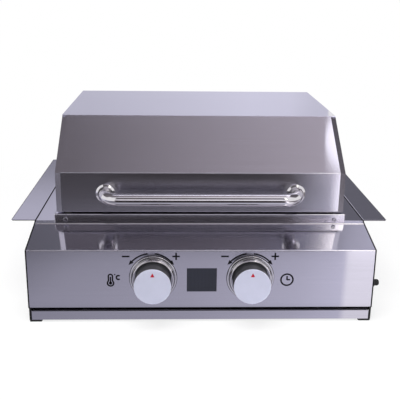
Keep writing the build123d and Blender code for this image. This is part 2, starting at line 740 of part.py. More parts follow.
def drain_spout():
    """Funnel under the tub's drain hole that ends above the drip tray."""
    low = (TRAY_TOP + FASCIA_BOTTOM) / 2
    funnel = turned([
        (SPOUT_TOP - SHEET, TUB_FLOOR),
        (SPOUT_TOP + SPOUT_FLANGE, TUB_FLOOR),
        (SPOUT_TOP + SPOUT_FLANGE, TUB_FLOOR - SHEET),
        (SPOUT_TOP, TUB_FLOOR - SHEET),
        (SPOUT_END + SHEET, low),
        (SPOUT_END, low),
    ])
    return Pos(0, TUB_MIDDLE, 0) * funnel


# Knobs, display and electronics

def on_fascia(solid, x):
    """Round piece moved from the Z axis to a knob axis, so that its height points to the front."""
    return Plane(origin=(x, 0, KNOB_Z), x_dir=(1, 0, 0), z_dir=(0, -1, 0)) * solid


def bezel(x):
    """Stepped ring on the fascia around a knob."""
    bore = KNOB_RADIUS + BEZEL_PLAY
    wall = bore + BEZEL_WALL
    return on_fascia(turned([
        (bore, 0),
        (BEZEL_RADIUS, 0),
        (BEZEL_RADIUS, BEZEL_STEP - BEZEL_EDGE),
        (BEZEL_RADIUS - BEZEL_EDGE, BEZEL_STEP),
        (wall + BEZEL_EDGE, BEZEL_STEP),
        (wall, BEZEL_STEP + BEZEL_EDGE),
        (wall - BEZEL_EDGE, BEZEL_HEIGHT - BEZEL_EDGE),
        (wall - 2 * BEZEL_EDGE, BEZEL_HEIGHT),
        (bore + BEZEL_EDGE, BEZEL_HEIGHT),
        (bore, BEZEL_HEIGHT - BEZEL_EDGE),
    ]), x)


def knob(x):
    """Knob moulding: a skirt with a flange at its foot, hollow over the nut, on a hub for the shaft."""
    top = KNOB_REACH - CAP_HEIGHT
    waist = KNOB_RADIUS - KNOB_WAIST
    hollow = waist - KNOB_WALL
    return on_fascia(turned([
        (hollow, KNOB_FOOT_GAP),
        (waist, KNOB_FOOT_GAP),
        (KNOB_RADIUS, KNOB_FOOT_GAP + KNOB_WAIST),
        (KNOB_RADIUS, BEZEL_HEIGHT),
        (waist, BEZEL_HEIGHT + KNOB_WAIST),
        (waist, top),
        (0, top),
        (0, shaft_top()),
        (SHAFT_RADIUS, shaft_top()),
        (SHAFT_RADIUS, BEZEL_HEIGHT + NUT_HEIGHT),
        (hollow, BEZEL_HEIGHT + NUT_HEIGHT),
    ]), x)


def shaft_top():
    """Height of the shaft's end inside the knob."""
    return KNOB_REACH - 3 * CAP_HEIGHT


def knob_cap(x):
    """Metal disc on the front of a knob."""
    low = KNOB_REACH - CAP_HEIGHT
    return on_fascia(turned([
        (0, low),
        (KNOB_RADIUS, low),
        (KNOB_RADIUS, KNOB_REACH - CAP_CHAMFER),
        (KNOB_RADIUS - CAP_CHAMFER, KNOB_REACH),
        (0, KNOB_REACH),
    ]), x)


def knob_shaft(x):
    """Encoder shaft, which turns with the knob."""
    return on_fascia(rod(SHAFT_RADIUS, (0, 0, -ENCODER_DEPTH), (0, 0, shaft_top())), x)


def encoder(x):
    """Encoder behind the fascia, with a threaded bush that guides the shaft."""
    back = -SHEET - ENCODER_DEPTH
    body = block(span(ENCODER_SIZE / 2), span(ENCODER_SIZE / 2), (back, -SHEET))
    bush = rod(BUSH_RADIUS, (0, 0, -SHEET), (0, 0, BUSH_REACH))
    bore = rod(SHAFT_RADIUS + BORE_PLAY, (0, 0, back - SHEET), (0, 0, BUSH_REACH + SHEET))
    return on_fascia(body + bush - bore, x)


def encoder_nut(x):
    """Hexagon nut that clamps an encoder to the fascia."""
    nut = extrude(RegularPolygon(NUT_RADIUS, 6), amount=NUT_HEIGHT)
    return on_fascia(nut - rod(BUSH_RADIUS, (0, 0, -SHEET), (0, 0, NUT_HEIGHT + SHEET)), x)


def display_window():
    """Dark glass in the fascia's window."""
    width = DISPLAY_WIDTH - 2 * HOLE_PLAY
    height = DISPLAY_HEIGHT - 2 * HOLE_PLAY
    y = (WINDOW_RECESS, SHEET + WINDOW_DEPTH)
    return block(span(width / 2), y, around(DISPLAY_Z, height))


def display_module():
    """Display in its frame, clamped against the back of the fascia."""
    half = DISPLAY_WIDTH / 2 + MODULE_BORDER
    frame_z = around(DISPLAY_Z, DISPLAY_HEIGHT + 2 * MODULE_BORDER)
    frame = block(span(half), (SHEET, SHEET + MODULE_DEPTH), frame_z)
    seat_y = (SHEET, SHEET + WINDOW_DEPTH)
    return frame - block(span(DISPLAY_WIDTH / 2), seat_y, around(DISPLAY_Z, DISPLAY_HEIGHT))


def on_board(x, size):
    """Box-shaped component on the back of the circuit board."""
    back = SHEET + BOARD_STANDOFF + BOARD_SHEET
    middle = (FASCIA_BOTTOM + FASCIA_TOP) / 2
    return block(around(x, size[0]), (back, back + size[1]), around(middle, size[2]))


def control_board():
    """Circuit board with two relays, a transformer and a capacitor on its back."""
    front = SHEET + BOARD_STANDOFF
    back = front + BOARD_SHEET
    z = (FASCIA_BOTTOM + BOARD_MARGIN, FASCIA_TOP - BOARD_MARGIN)
    middle = (FASCIA_BOTTOM + FASCIA_TOP) / 2
    board = block(span(BOARD_WIDTH / 2), (front, back), z)
    relays = [on_board(place, RELAY_SIZE) for place in RELAY_PLACES]
    transformer = on_board(TRANSFORMER_PLACE, TRANSFORMER_SIZE)
    tip = (CAPACITOR_PLACE, back + CAPACITOR_HEIGHT, middle)
    capacitor = rod(CAPACITOR_RADIUS, (CAPACITOR_PLACE, back, middle), tip)
    return group([board, *relays, transformer, capacitor])


def board_standoffs():
    """Four posts that hold the board behind the fascia."""
    inset = BOARD_MARGIN + STANDOFF_INSET
    levels = (FASCIA_BOTTOM + inset, FASCIA_TOP - inset)
    posts = []
    for x in span(BOARD_WIDTH / 2 - STANDOFF_INSET):
        for z in levels:
            posts.append(rod(STANDOFF_RADIUS, (x, SHEET, z), (x, SHEET + BOARD_STANDOFF, z)))
    return group(posts)


def terminal_place():
    """Middle of the terminal block on the floor of the control box."""
    return (LOOM_X + TERMINAL_SIZE[0], SHIELD_FRONT - TERMINAL_SIZE[1])


def terminal_block():
    """Mains terminal block with a row of screw wells."""
    x, y = terminal_place()
    width, depth, height = TERMINAL_SIZE
    top = INSIDE_FLOOR + height
    body = block(around(x, width), around(y, depth), (INSIDE_FLOOR, top))
    pitch = width / TERMINAL_WAYS
    wells = []
    for place in evenly(x - width / 2 + pitch / 2, x + width / 2 - pitch / 2, TERMINAL_WAYS):
        floor = (place, y - TERMINAL_WELL, top - TERMINAL_WELL_DEPTH)
        wells.append(rod(TERMINAL_WELL, floor, (place, y - TERMINAL_WELL, top)))
    return body - wells


def mains_loom():
    """Sheathed lead from the power inlet past the tub to the terminal block."""
    x, y = terminal_place()
    start = BODY_DEPTH - INLET_DEPTH
    path = FilletPolyline(
        (LOOM_X, start, LOOM_Z),
        (LOOM_X, y, LOOM_Z),
        (x, y, LOOM_Z),
        (x, y, INSIDE_FLOOR + TERMINAL_SIZE[2]),
        radius=LOOM_BEND,
    )
    return swept(LOOM_RADIUS, path)


def power_inlet():
    """Appliance inlet in the rear panel: a rimmed socket with flat pins."""
    plate_y = (BODY_DEPTH, BODY_DEPTH + INLET_SHEET)
    plate = block(around(LOOM_X, INLET_PLATE[0]), plate_y, around(LOOM_Z, INLET_PLATE[1]))
    plate = rounded(plate, Axis.Y, FLANGE_CORNER)
    back = BODY_DEPTH - INLET_DEPTH
    body = block(around(LOOM_X, INLET_BODY[0]), (back, BODY_DEPTH), around(LOOM_Z, INLET_BODY[1]))
    floor = BODY_DEPTH + INLET_SHEET - INLET_SOCKET_DEPTH
    well_y = (floor, BODY_DEPTH + 2 * INLET_SHEET)
    well = block(around(LOOM_X, INLET_SOCKET[0]), well_y, around(LOOM_Z, INLET_SOCKET[1]))
    well = rounded(well, Axis.Y, FLANGE_CORNER)
    pins = []
    for step in (-1, 0, 1):
        x = around(LOOM_X + step * INLET_PIN_SPACING, INLET_PIN[0])
        z = LOOM_Z + (INLET_PIN_OFFSET if step == 0 else -INLET_PIN_OFFSET)
        pins.append(block(x, (floor - SHEET, floor + INLET_PIN_LENGTH), around(z, INLET_PIN[1])))
    return plate + body - well + pins


# Reset breaker

def along_button(radius, low, high):
    """Round bar on the axis of the reset button, between two distances from the wall's face."""
    return rod(
        radius,
        (BODY_HALF + low, BUTTON_SETBACK, BUTTON_Z),
        (BODY_HALF + high, BUTTON_SETBACK, BUTTON_Z),
    )


def breaker_body():
    """Overload breaker inside the right wall, with a well for its button."""
    depth, width, height = BREAKER_SIZE
    x = (INNER_HALF - depth, INNER_HALF)
    case = block(x, around(BUTTON_SETBACK, width), around(BUTTON_Z, height))
    floor = -BUTTON_TAIL - BUTTON_TRAVEL - PLAY
    return case - along_button(BUTTON_RADIUS + BORE_PLAY, floor, SHEET)


def breaker_collar():
    """Threaded collar of the breaker with its nut against the wall."""
    outer = BUTTON_RADIUS + COLLAR_WALL
    sleeve = along_button(outer, -SHEET, COLLAR_REACH)
    plane = Plane(origin=(BODY_HALF, BUTTON_SETBACK, BUTTON_Z), z_dir=(1, 0, 0))
    nut = extrude(plane * RegularPolygon(COLLAR_NUT_RADIUS, 6), amount=COLLAR_NUT)
    return sleeve + nut - along_button(BUTTON_RADIUS + BORE_PLAY, -2 * SHEET, 2 * COLLAR_REACH)


def reset_button():
    """Round-nosed push button of the breaker."""
    stem = along_button(BUTTON_RADIUS, -BUTTON_TAIL, BUTTON_REACH)
    nose = stem.edges().filter_by(GeomType.CIRCLE).sort_by(Axis.X)[-1]
    return fillet(nose, BUTTON_NOSE)


# Drip drawer

def runner():
    """Right runner: a channel on the base rail that holds the edge of the tray."""
    x = (BODY_HALF - RAIL_SHEET - RUNNER_WIDTH, BODY_HALF - RAIL_SHEET)
    y = (RUNNER_SETBACK, TRAY_REAR)
    channel = block(x, y, (RAIL_TOP, RUNNER_TOP))
    inside_x = (x[0] - SHEET, x[1] - RUNNER_SHEET)
    inside_y = (RUNNER_SETBACK - SHEET, TRAY_REAR + SHEET)
    return channel - block(inside_x, inside_y, (RAIL_TOP + RUNNER_SHEET, RUNNER_TOP - RUNNER_SHEET))


def drip_tray():
    """Shallow open tray that slides in the runners."""
    outer = block(span(TRAY_HALF), (SHEET, TRAY_REAR), (TRAY_BOTTOM, TRAY_TOP))
    inside_y = (SHEET + TRAY_SHEET, TRAY_REAR - TRAY_SHEET)
    inside_z = (TRAY_BOTTOM + TRAY_SHEET, TRAY_TOP + SHEET)
    return outer - block(span(TRAY_HALF - TRAY_SHEET), inside_y, inside_z)


def drawer_front():
    """Front of the drawer, with its upper edge folded back over the tray."""
    line = [(0, FOOT_HEIGHT + PLAY), (0, DRAWER_TOP), (DRAWER_LIP, DRAWER_TOP)]
    return folded(line, side_plane(-DRAWER_HALF), 2 * DRAWER_HALF)


# Hood

def front_strips():
    """Region of the hood's front that the side panels' strips take up, on the right."""
    depth = 3 * SHEET
    face = parallel(HOOD_LINE[1:4], -depth)
    back = parallel(HOOD_LINE[1:4], depth)
    outline = [face[0], face[1], face[2], back[2], back[1], back[0]]
    strip = prism(outline, side_plane(PANEL_HALF), STRIP_WIDTH + SHEET)
    hem_y = (HOOD_FRONT - SHEET, HOOD_FRONT + HEM + SHEET)
    hem = block((PANEL_HALF, HOOD_HALF + SHEET), hem_y, (HOOD_BOTTOM - SHEET, HOOD_BOTTOM + 2 * SHEET))
    ceiling = block((0, BODY_HALF), (0, BODY_DEPTH), (HOOD_TOP - SHEET, HOOD_TOP + HEM))
    return strip + hem - ceiling


def hood_wrap():
    """Front, slope, top and back of the hood, bent from one sheet that is narrower in front."""
    sheet = folded(HOOD_LINE, side_plane(-HOOD_HALF), 2 * HOOD_HALF)
    strips = front_strips()
    planes = [hinge for x in span(HINGE_SPACING / 2) for hinge in hood_hinge_planes(x)]
    handle = holes(handle_screw_planes(), HANDLE_SCREW_SCALE)
    return sheet - strips - other_side(strips) - holes(planes) - handle


def strip_station(place):
    """Cross-section of the right side panel's front strip, where place gives (y, z) at a setback."""
    corners = [
        (HOOD_HALF, STRIP_SETBACK),
        (PANEL_HALF, 0),
        (PANEL_HALF, SHEET),
        (HOOD_HALF, STRIP_SETBACK + SHEET),
    ]
    points = [(x, *place(setback)) for x, setback in corners]
    return make_face(Polyline(*points, close=True))


def at_foot(setback):
    """Place on the hood's lower edge, a setback behind its front."""
    return (HOOD_FRONT + setback, HOOD_BOTTOM)


def at_bend(setback):
    """Place on the bend between front and slope, a setback behind both."""
    return parallel(HOOD_LINE[1:4], setback)[1]


def at_ceiling(setback):
    """Place under the top sheet, a setback behind the slope."""
    start, end = parallel(HOOD_LINE[2:4], setback)
    share = (HOOD_TOP - SHEET - start[1]) / (end[1] - start[1])
    return (start[0] + (end[0] - start[0]) * share, HOOD_TOP - SHEET)


def hood_side():
    """Right side of the hood, with a narrow strip turned round each front face and a lower hem."""
    corners = [place(STRIP_SETBACK) for place in (at_foot, at_bend, at_ceiling)]
    corners += [(HOOD_REAR - SHEET, HOOD_TOP - SHEET), (HOOD_REAR - SHEET, HOOD_BOTTOM)]
    plate = prism(corners, side_plane(HOOD_HALF - SHEET), SHEET)
    stations = [strip_station(place) for place in (at_foot, at_bend, at_ceiling)]
    strips = [loft(list(pair), ruled=True) for pair in zip(stations, stations[1:])]
    hem_y = (HOOD_FRONT + HEM + PLAY, HOOD_REAR - SHEET)
    hem = block((HOOD_HALF - HEM, HOOD_HALF), hem_y, (HOOD_BOTTOM, HOOD_BOTTOM + SHEET))
    return plate + strips + hem - hood_wrap()


def handle_path():
    """Middle line of the handle, from one foot on the hood to the other."""
    front = HOOD_FRONT - HANDLE_REACH
    points = [(-HANDLE_SPAN / 2, HOOD_FRONT, HANDLE_Z), (-HANDLE_SPAN / 2, front, HANDLE_Z)]
    points += [(HANDLE_SPAN / 2, front, HANDLE_Z), (HANDLE_SPAN / 2, HOOD_FRONT, HANDLE_Z)]
    return FilletPolyline(*points, radius=HANDLE_BEND)


def handle_tube():
    """Bent tube with a threaded plug welded into each foot."""
    path = handle_path()
    outer = swept(HANDLE_TUBE / 2, path)
    inner = swept(HANDLE_TUBE / 2 - HANDLE_WALL, path)
    plugs = []
    for x in span(HANDLE_SPAN / 2):
        start = (x, HOOD_FRONT - HANDLE_PLUG, HANDLE_Z)
        plugs.append(rod(HANDLE_TUBE / 2 - HANDLE_WALL / 2, start, (x, HOOD_FRONT, HANDLE_Z)))
    return outer - inner + plugs - holes(handle_screw_planes(), HANDLE_SCREW_SCALE)


def handle_rosettes():
    """Rounded ring round each foot of the handle."""
    bore = HANDLE_TUBE / 2 + BORE_PLAY
    ring = turned([
        (bore, 0),
        (ROSETTE_RADIUS, 0),
        (ROSETTE_RADIUS, ROSETTE_EDGE),
        (bore + ROSETTE_CROWN, ROSETTE_HEIGHT),
        (bore, ROSETTE_HEIGHT),
    ])
    planes = [
        Plane(origin=(x, HOOD_FRONT, HANDLE_Z), x_dir=(1, 0, 0), z_dir=(0, -1, 0))
        for x in span(HANDLE_SPAN / 2)
    ]
    return group([plane * ring for plane in planes])


def hood_bumpers():
    """Four soft pads on the rim, under the hems of the hood."""
    spots = [(x, HOOD_FRONT + HEM / 2) for x in span(PANEL_HALF - 2 * BUMPER_RADIUS)]
    spots += [(x, HOOD_REAR - BUMPER_INSET) for x in span(HOOD_HALF - HEM / 2)]
    return group([
        rod(BUMPER_RADIUS, (x, y, RIM_TOP), (x, y, HOOD_BOTTOM - PLAY)) for x, y in spots
    ])


# Hinges

def knuckle(x, radius=KNUCKLE_RADIUS):
    """Round bar on the hinge axis between two limits along X."""
    return rod(radius, (x[0], HINGE_Y, HINGE_Z), (x[1], HINGE_Y, HINGE_Z))


def upper_hinge(x):
    """Hinge leaf on the hood's rear wall, with one knuckle between the lower leaf's two."""
    leaf_y = (HOOD_REAR, HOOD_REAR + HINGE_LEAF)
    leaf_z = (HINGE_Z + KNUCKLE_RADIUS, HINGE_Z + KNUCKLE_RADIUS + HINGE_LEAF_HEIGHT)
    leaf = block(around(x, HINGE_WIDTH), leaf_y, leaf_z)
    middle = around(x, KNUCKLE_WIDTH - 2 * PLAY)
    arm = block(middle, (HOOD_REAR, HINGE_Y), (HINGE_Z, HINGE_Z + KNUCKLE_RADIUS + HINGE_LEAF))
    bore = knuckle(around(x, HINGE_WIDTH), PIN_RADIUS + BORE_PLAY)
    return leaf + arm + knuckle(middle) - bore - holes(hood_hinge_planes(x))


def lower_hinge(x):
    """Hinge leaf on the deck, with two ears that hold the pin."""
    base_y = (HINGE_Y - KNUCKLE_RADIUS, BODY_DEPTH - SHEET)
    base = block(around(x, HINGE_WIDTH), base_y, (DECK_TOP, DECK_TOP + HINGE_LEAF))
    low, high = around(x, HINGE_WIDTH)
    gap_low, gap_high = around(x, KNUCKLE_WIDTH)
    ears = []
    for ear_x in ((low, gap_low), (gap_high, high)):
        post = block(ear_x, around(HINGE_Y, 2 * KNUCKLE_RADIUS), (DECK_TOP, HINGE_Z))
        ears += [post, knuckle(ear_x)]
    return base + ears - knuckle((low - PIN_END, high + PIN_END), PIN_RADIUS) - holes(deck_hinge_planes(x))


def hinge_pins():
    """Pins held in the ears of the lower leaves."""
    reach = HINGE_WIDTH + 2 * PIN_END
    return group([knuckle(around(x, reach), PIN_RADIUS) for x in span(HINGE_SPACING / 2)])


def pieces():
    """Every node's name with its solid."""
    left, right = span(HINGE_SPACING / 2)
    rail, flange, side, slide = base_rail(), mounting_flange(), hood_side(), runner()
    rim_screws = rim_screw_planes(RIM_FRONT, -1) + rim_screw_planes(RIM_REAR, 1)
    side_screws = side_screw_planes(1) + side_screw_planes(-1)
    flange_screws = flange_screw_planes(1) + flange_screw_planes(-1)
    return {
        "base_rail_left": other_side(rail),
        "base_rail_right": rail,
        "base_rail_rear": base_rail_rear(),
        "feet": feet(),
        "bottom_plate": bottom_plate(),
        "body_wrap": body_wrap(),
        "side_screws": group(screw(plane) for plane in side_screws),
        "rear_panel": rear_panel(),
        "rear_screws": group(screw(plane) for plane in rear_screw_planes()),
        "control_panel": control_panel(),
        "heat_shield": heat_shield(),
        "flange_left": other_side(flange),
        "flange_right": flange,
        "flange_screws": group(screw(plane) for plane in flange_screws),
        "fire_tub": fire_tub(),
        "rim_screws": group(screw(plane) for plane in rim_screws),
        "plate_brackets": plate_brackets(),
        "cooking_plate": cooking_plate(),
        "heating_element": heating_element(),
        "element_straps": element_straps(),
        "temperature_probe": temperature_probe(),
        "drain_spout": drain_spout(),
        "temperature_bezel": bezel(-KNOB_X),
        "timer_bezel": bezel(KNOB_X),
        "encoders": group(encoder(x) for x in span(KNOB_X)),
        "encoder_nuts": group(encoder_nut(x) for x in span(KNOB_X)),
        "display_window": display_window(),
        "display_module": display_module(),
        "control_board": control_board(),
        "board_standoffs": board_standoffs(),
        "terminal_block": terminal_block(),
        "mains_loom": mains_loom(),
        "power_inlet": power_inlet(),
        "breaker_body": breaker_body(),
        "breaker_collar": breaker_collar(),
        "runner_left": other_side(slide),
        "runner_right": slide,
        "lower_hinge_left": lower_hinge(left),
        "lower_hinge_right": lower_hinge(right),
        "hinge_pins": hinge_pins(),
        "deck_hinge_screws": group(screw(plane) for x in (left, right) for plane in deck_hinge_planes(x)),
        "hood_bumpers": hood_bumpers(),
        "hood_wrap": hood_wrap(),
        "hood_side_left": other_side(side),
        "hood_side_right": side,
        "handle_tube": handle_tube(),
        "handle_rosettes": handle_rosettes(),
        "handle_screws": group(screw(plane, HANDLE_SCREW_SCALE) for plane in handle_screw_planes()),
        "upper_hinge_left": upper_hinge(left),
        "upper_hinge_right": upper_hinge(right),
        "hood_hinge_screws": group(screw(plane) for x in (left, right) for plane in hood_hinge_planes(x)),
        "temperature_knob": knob(-KNOB_X),
        "temperature_knob_cap": knob_cap(-KNOB_X),
        "temperature_shaft": knob_shaft(-KNOB_X),
        "timer_knob": knob(KNOB_X),
        "timer_knob_cap": knob_cap(KNOB_X),
        "timer_shaft": knob_shaft(KNOB_X),
        "drip_tray": drip_tray(),
        "drawer_front": drawer_front(),
        "reset_button": reset_button(),
    }


os.makedirs("parts", exist_ok=True)
for name, solid in pieces().items():
    export_step(Pos(0, FRAME_SHIFT, 0) * solid, f"parts/{name}.step")
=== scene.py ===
import math

import bmesh
import bpy
import numpy as np
from bpy.props import FloatProperty, FloatVectorProperty, IntProperty, PointerProperty
from mathutils import Matrix, Vector


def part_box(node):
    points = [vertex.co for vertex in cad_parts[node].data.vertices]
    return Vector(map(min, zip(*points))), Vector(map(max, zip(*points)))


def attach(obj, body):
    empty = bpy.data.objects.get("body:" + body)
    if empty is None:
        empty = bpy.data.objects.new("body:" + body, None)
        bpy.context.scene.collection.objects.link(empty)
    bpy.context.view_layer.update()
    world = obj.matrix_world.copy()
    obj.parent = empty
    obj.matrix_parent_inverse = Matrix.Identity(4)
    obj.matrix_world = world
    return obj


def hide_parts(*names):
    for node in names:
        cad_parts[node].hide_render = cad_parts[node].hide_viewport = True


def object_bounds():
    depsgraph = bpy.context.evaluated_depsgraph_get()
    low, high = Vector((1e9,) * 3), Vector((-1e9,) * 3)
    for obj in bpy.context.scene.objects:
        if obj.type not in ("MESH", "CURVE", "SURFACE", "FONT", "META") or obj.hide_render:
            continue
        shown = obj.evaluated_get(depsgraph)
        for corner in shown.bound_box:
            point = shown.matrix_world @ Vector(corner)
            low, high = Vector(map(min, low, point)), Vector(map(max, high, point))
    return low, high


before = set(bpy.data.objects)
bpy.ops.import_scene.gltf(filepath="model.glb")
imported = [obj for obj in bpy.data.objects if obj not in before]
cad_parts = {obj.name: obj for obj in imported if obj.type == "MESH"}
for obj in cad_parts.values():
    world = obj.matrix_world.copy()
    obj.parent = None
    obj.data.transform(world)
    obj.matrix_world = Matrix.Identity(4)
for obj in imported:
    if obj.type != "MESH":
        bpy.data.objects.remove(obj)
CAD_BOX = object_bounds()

bl_info = {
    "name": "Built-in grill dressing",
    "version": (1, 0, 0),
    "blender": (4, 5, 0),
    "location": "View3D > Sidebar > Grill",
    "description": "Smooth pieces, printed signs, finishes and stage of a built-in grill",
    "category": "Object",
}

MM = 0.001
ACROSS, BACK, FRONT, UP = (1.0, 0.0, 0.0), (0.0, 1.0, 0.0), (0.0, -1.0, 0.0), (0.0, 0.0, 1.0)
# Roughness of brushed sheet: on level and sloping faces, on upright fronts and on the hood's front.
FINE, COARSE, HOOD_COARSE = 0.08, 0.115, 0.13
CARD_Z, CEILING = 0.0005, 1.50  # heights of the cards on the floor and overhead
# Tints of the cards.
DAY, DUSK = (1.0, 0.99, 1.16), (1.0, 0.92, 0.99)
WHITE, WARM = (1.0, 0.98, 1.04), (1.0, 0.98, 0.86)


# ---- places read from the frame

def middle(node):
    """Middle of a CAD node's box."""
    low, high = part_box(node)
    return (np.array(low) + np.array(high)) / 2


def reach(node, axis):
    """Size of a CAD node's box along one axis."""
    low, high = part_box(node)
    return float(high[axis]) - float(low[axis])


FASCIA_Y = float(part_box("control_panel")[0][1])
HOOD_Y = float(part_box("handle_rosettes")[1][1])
KNOB_MIDDLES = {name: middle(f"{name}_knob_cap") for name in ("temperature", "timer")}
KNOB_SPREAD = float(KNOB_MIDDLES["timer"][0])
KNOB_Z = float(KNOB_MIDDLES["timer"][2])
CAP_FACE = FASCIA_Y - float(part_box("timer_knob_cap")[0][1])


# ---- what a user may change

def length(name, description, default):
    """A length in metres with its name and what it is."""
    return FloatProperty(
        name=name, description=description, default=default, unit="LENGTH", precision=4
    )


def tint(name, description, default):
    """A linear colour with its name and where it goes."""
    return FloatVectorProperty(
        name=name, description=description, default=default, subtype="COLOR", min=0, max=1
    )


def level(name, description, default):
    """A plain number from nothing upwards."""
    return FloatProperty(name=name, description=description, default=default, min=0)


def tilt(name, description, degrees):
    """An angle, given in degrees."""
    return FloatProperty(
        name=name, description=description, default=math.radians(degrees), subtype="ANGLE"
    )


class GrillSizes(bpy.types.PropertyGroup):
    """Sizes of the pieces that are made here."""

    turn_steps: IntProperty(
        name="Turning steps", description="Points round a turned piece", default=128, min=24
    )
    tube: length("Handle tube", "Outer diameter of the handle", reach("handle_tube", 2))
    bend: length("Handle bend", "Radius of the handle's middle line in its bends", 0.026)
    rosette: length("Rosette", "Radius of the ring at each handle foot", reach("handle_rosettes", 2) / 2)
    rosette_height: length("Rosette height", "How far a rosette stands out", reach("handle_rosettes", 1))
    ring: length("Knob ring", "Outer radius of the ring round a knob", reach("timer_bezel", 2) / 2)
    ring_height: length("Knob ring height", "How far a knob ring stands out", reach("timer_bezel", 1))
    ring_bore: length("Knob ring bore", "Inner radius of a knob ring", 0.02995)
    knob: length("Knob", "Radius of a knob's foot and of its cap", reach("timer_knob_cap", 2) / 2)
    cap: length("Cap height", "Thickness of a knob's metal cap", reach("timer_knob_cap", 1))
    ink: length("Ink", "How far the printed signs stand proud", 0.00006)
    stroke: length("Stroke", "Width of a printed line", 0.0024)
    slope_run: length("Slope depth", "Depth of the control slope", 0.080)
    slope_rise: length("Slope rise", "Rise of the control slope", 0.0165)
    lip_run: length("Lip depth", "Depth of the lip behind the control slope", 0.008)
    lip_rise: length("Lip rise", "Rise of the lip behind the control slope", 0.003)
    # Dark strip on the drawer's top edge: painted shade of the gap between fascia and drawer.
    gap_shade: length("Drawer gap shade", "Height of the dark strip on the top edge of the drawer front", 0.0015)
    # The side joints are real; their dark bands are painted shade.
    joint_shade: length("Joint", "Width of the dark joints along the sides", 0.0021)
    bead: length("Bead", "Diameter of the bead on the top of the control slope", 0.0022)
    arrow_radius: length("Arrow radius", "Radius of the printed arrows round a knob", 0.0413)


class GrillColours(bpy.types.PropertyGroup):
    """Colours of the finishes."""

    steel: tint("Stainless", "Brushed sheet of body and hood", (0.63, 0.615, 0.685))
    polished: tint("Polished steel", "Handle and rings", (0.70, 0.68, 0.71))
    screws: tint("Screws", "Screws and pins", (0.60, 0.60, 0.63))
    hinges: tint("Hinges", "Hinge leaves", (0.55, 0.55, 0.58))
    black_paint: tint("Black paint", "Base rails", (0.010, 0.010, 0.012))
    zinc: tint("Zinc", "Galvanised inner sheets", (0.52, 0.53, 0.55))
    heater: tint("Heater", "Heat-dulled element", (0.20, 0.19, 0.185))
    iron: tint("Cast iron", "Cooking plate", (0.030, 0.029, 0.028))
    knob_side: tint("Knob side", "Dark side of the knobs", (0.020, 0.020, 0.024))
    aluminium: tint("Aluminium", "Knob caps", (0.76, 0.775, 0.92))
    glass: tint("Display", "Glass of the display", (0.017, 0.019, 0.030))
    board: tint("Board", "Circuit board", (0.030, 0.170, 0.075))
    plastic: tint("Black plastic", "Inlet, breaker and inner mouldings", (0.022, 0.022, 0.024))
    brass: tint("Brass", "Posts and nuts", (0.70, 0.53, 0.24))
    rubber: tint("Rubber", "Pads, lead and button", (0.020, 0.020, 0.021))
    # Ink also colours the bands of painted shade at the joints, the knob rings and the drawer.
    ink: tint("Ink", "Printed signs and dark joints", (0.006, 0.006, 0.008))
    pointer: tint("Pointer", "Mark on a knob's cap", (0.44, 0.003, 0.022))


class GrillStage(bpy.types.PropertyGroup):
    """Camera and light."""

    camera: FloatVectorProperty(
        name="Camera", description="Place of the camera", default=(-0.0401, -1.2593, 0.5214),
        subtype="TRANSLATION", precision=4,
    )
    lens: FloatProperty(name="Lens", description="Focal length on a 36 mm sensor", default=63.0)
    yaw: tilt("Yaw", "Turn to the left", -2.0)
    pitch: tilt("Pitch", "Turn downwards", 17.2)
    roll: tilt("Roll", "Turn about the line of sight", 0.7)
    sky: level("Sky", "Light of the surroundings on matt surfaces", 0.55)
    lamp: level("Lamp", "Power of the soft box overhead, in watts", 34.0)
    side_lamp: level("Side lamp", "Power of the soft box at the right, in watts", 10.0)


# ---- lines and surfaces

def unit(vectors):
    """Vectors of length one; a vector of no length stays as it is."""
    size = np.linalg.norm(vectors, axis=-1, keepdims=True)
    return vectors / np.where(size < 1e-12, 1.0, size)


def eased(corners, radii, steps=7, support=0.35):
    """Line of straight runs whose corners are arcs.

    Each arc's middle lies on its corner's bisector, at the radius over the sine of half the
    corner's angle, and its points go round that middle from one run to the other. One point
    more on each run, a share of the radius beyond the arc, keeps the run's shading flat.
    """
    corner, radius = np.asarray(corners, float), np.asarray(radii, float)
    back = unit(np.roll(corner, 1, 0) - corner)
    ahead = unit(np.roll(corner, -1, 0) - corner)
    half = np.arccos(np.clip((back * ahead).sum(1), -1, 1)) / 2
    half = np.clip(half, 1e-3, np.pi / 2)
    centre = corner + unit(back + ahead) * (radius / np.sin(half))[:, None]
    run = (radius / np.tan(half))[:, None]
    first = unit(corner + back * run - centre)
    last = corner + ahead * run - centre
    across = unit(last - first * (last * first).sum(1, keepdims=True))
    angle = np.linspace(0, 1, steps)[None, :] * (np.pi - 2 * half)[:, None]
    arc = centre[:, None] + radius[:, None, None] * (
        np.cos(angle)[..., None] * first[:, None] + np.sin(angle)[..., None] * across[:, None]
    )
    extra = (radius * support)[:, None]
    start = (corner + back * (run + extra))[:, None]
    end = (corner + ahead * (run + extra))[:, None]
    line = np.concatenate([start, arc, end], 1).reshape(-1, corner.shape[1])
    step = np.linalg.norm(np.diff(line, axis=0), axis=1)
    return line[np.concatenate([[True], step > 1e-9])]


def round_faces(rows, columns, join_rows, join_columns):
    """Quads of a grid of points; a joined side runs from its last line on to its first."""
    row = np.arange(rows if join_rows else rows - 1)
    column = np.arange(columns if join_columns else columns - 1)
    i, j = (index.ravel() for index in np.meshgrid(row, column, indexing="ij"))
    i_next, j_next = (i + 1) % rows, (j + 1) % columns
    corners = (i, j), (i_next, j), (i_next, j_next), (i, j_next)
    return np.stack([at_row * columns + at_column for at_row, at_column in corners], 1)


def turned(profile, place, steps, closed, axis=FRONT):
    """Profile of radius and height turned about an axis.

    A point of the profile goes to the place plus its height along the axis, plus its radius
    times the cosine and sine of the turn along two lines square to the axis.
    """
    axis, across = np.array(axis), np.array(UP)
    side = np.cross(axis, across)
    angle = np.linspace(0, 2 * np.pi, steps, endpoint=False)[:, None, None]
    radius, height = profile[None, :, :1], profile[None, :, 1:]
    points = np.array(place) + height * axis + radius * (np.cos(angle) * across + np.sin(angle) * side)
    return points, True, closed


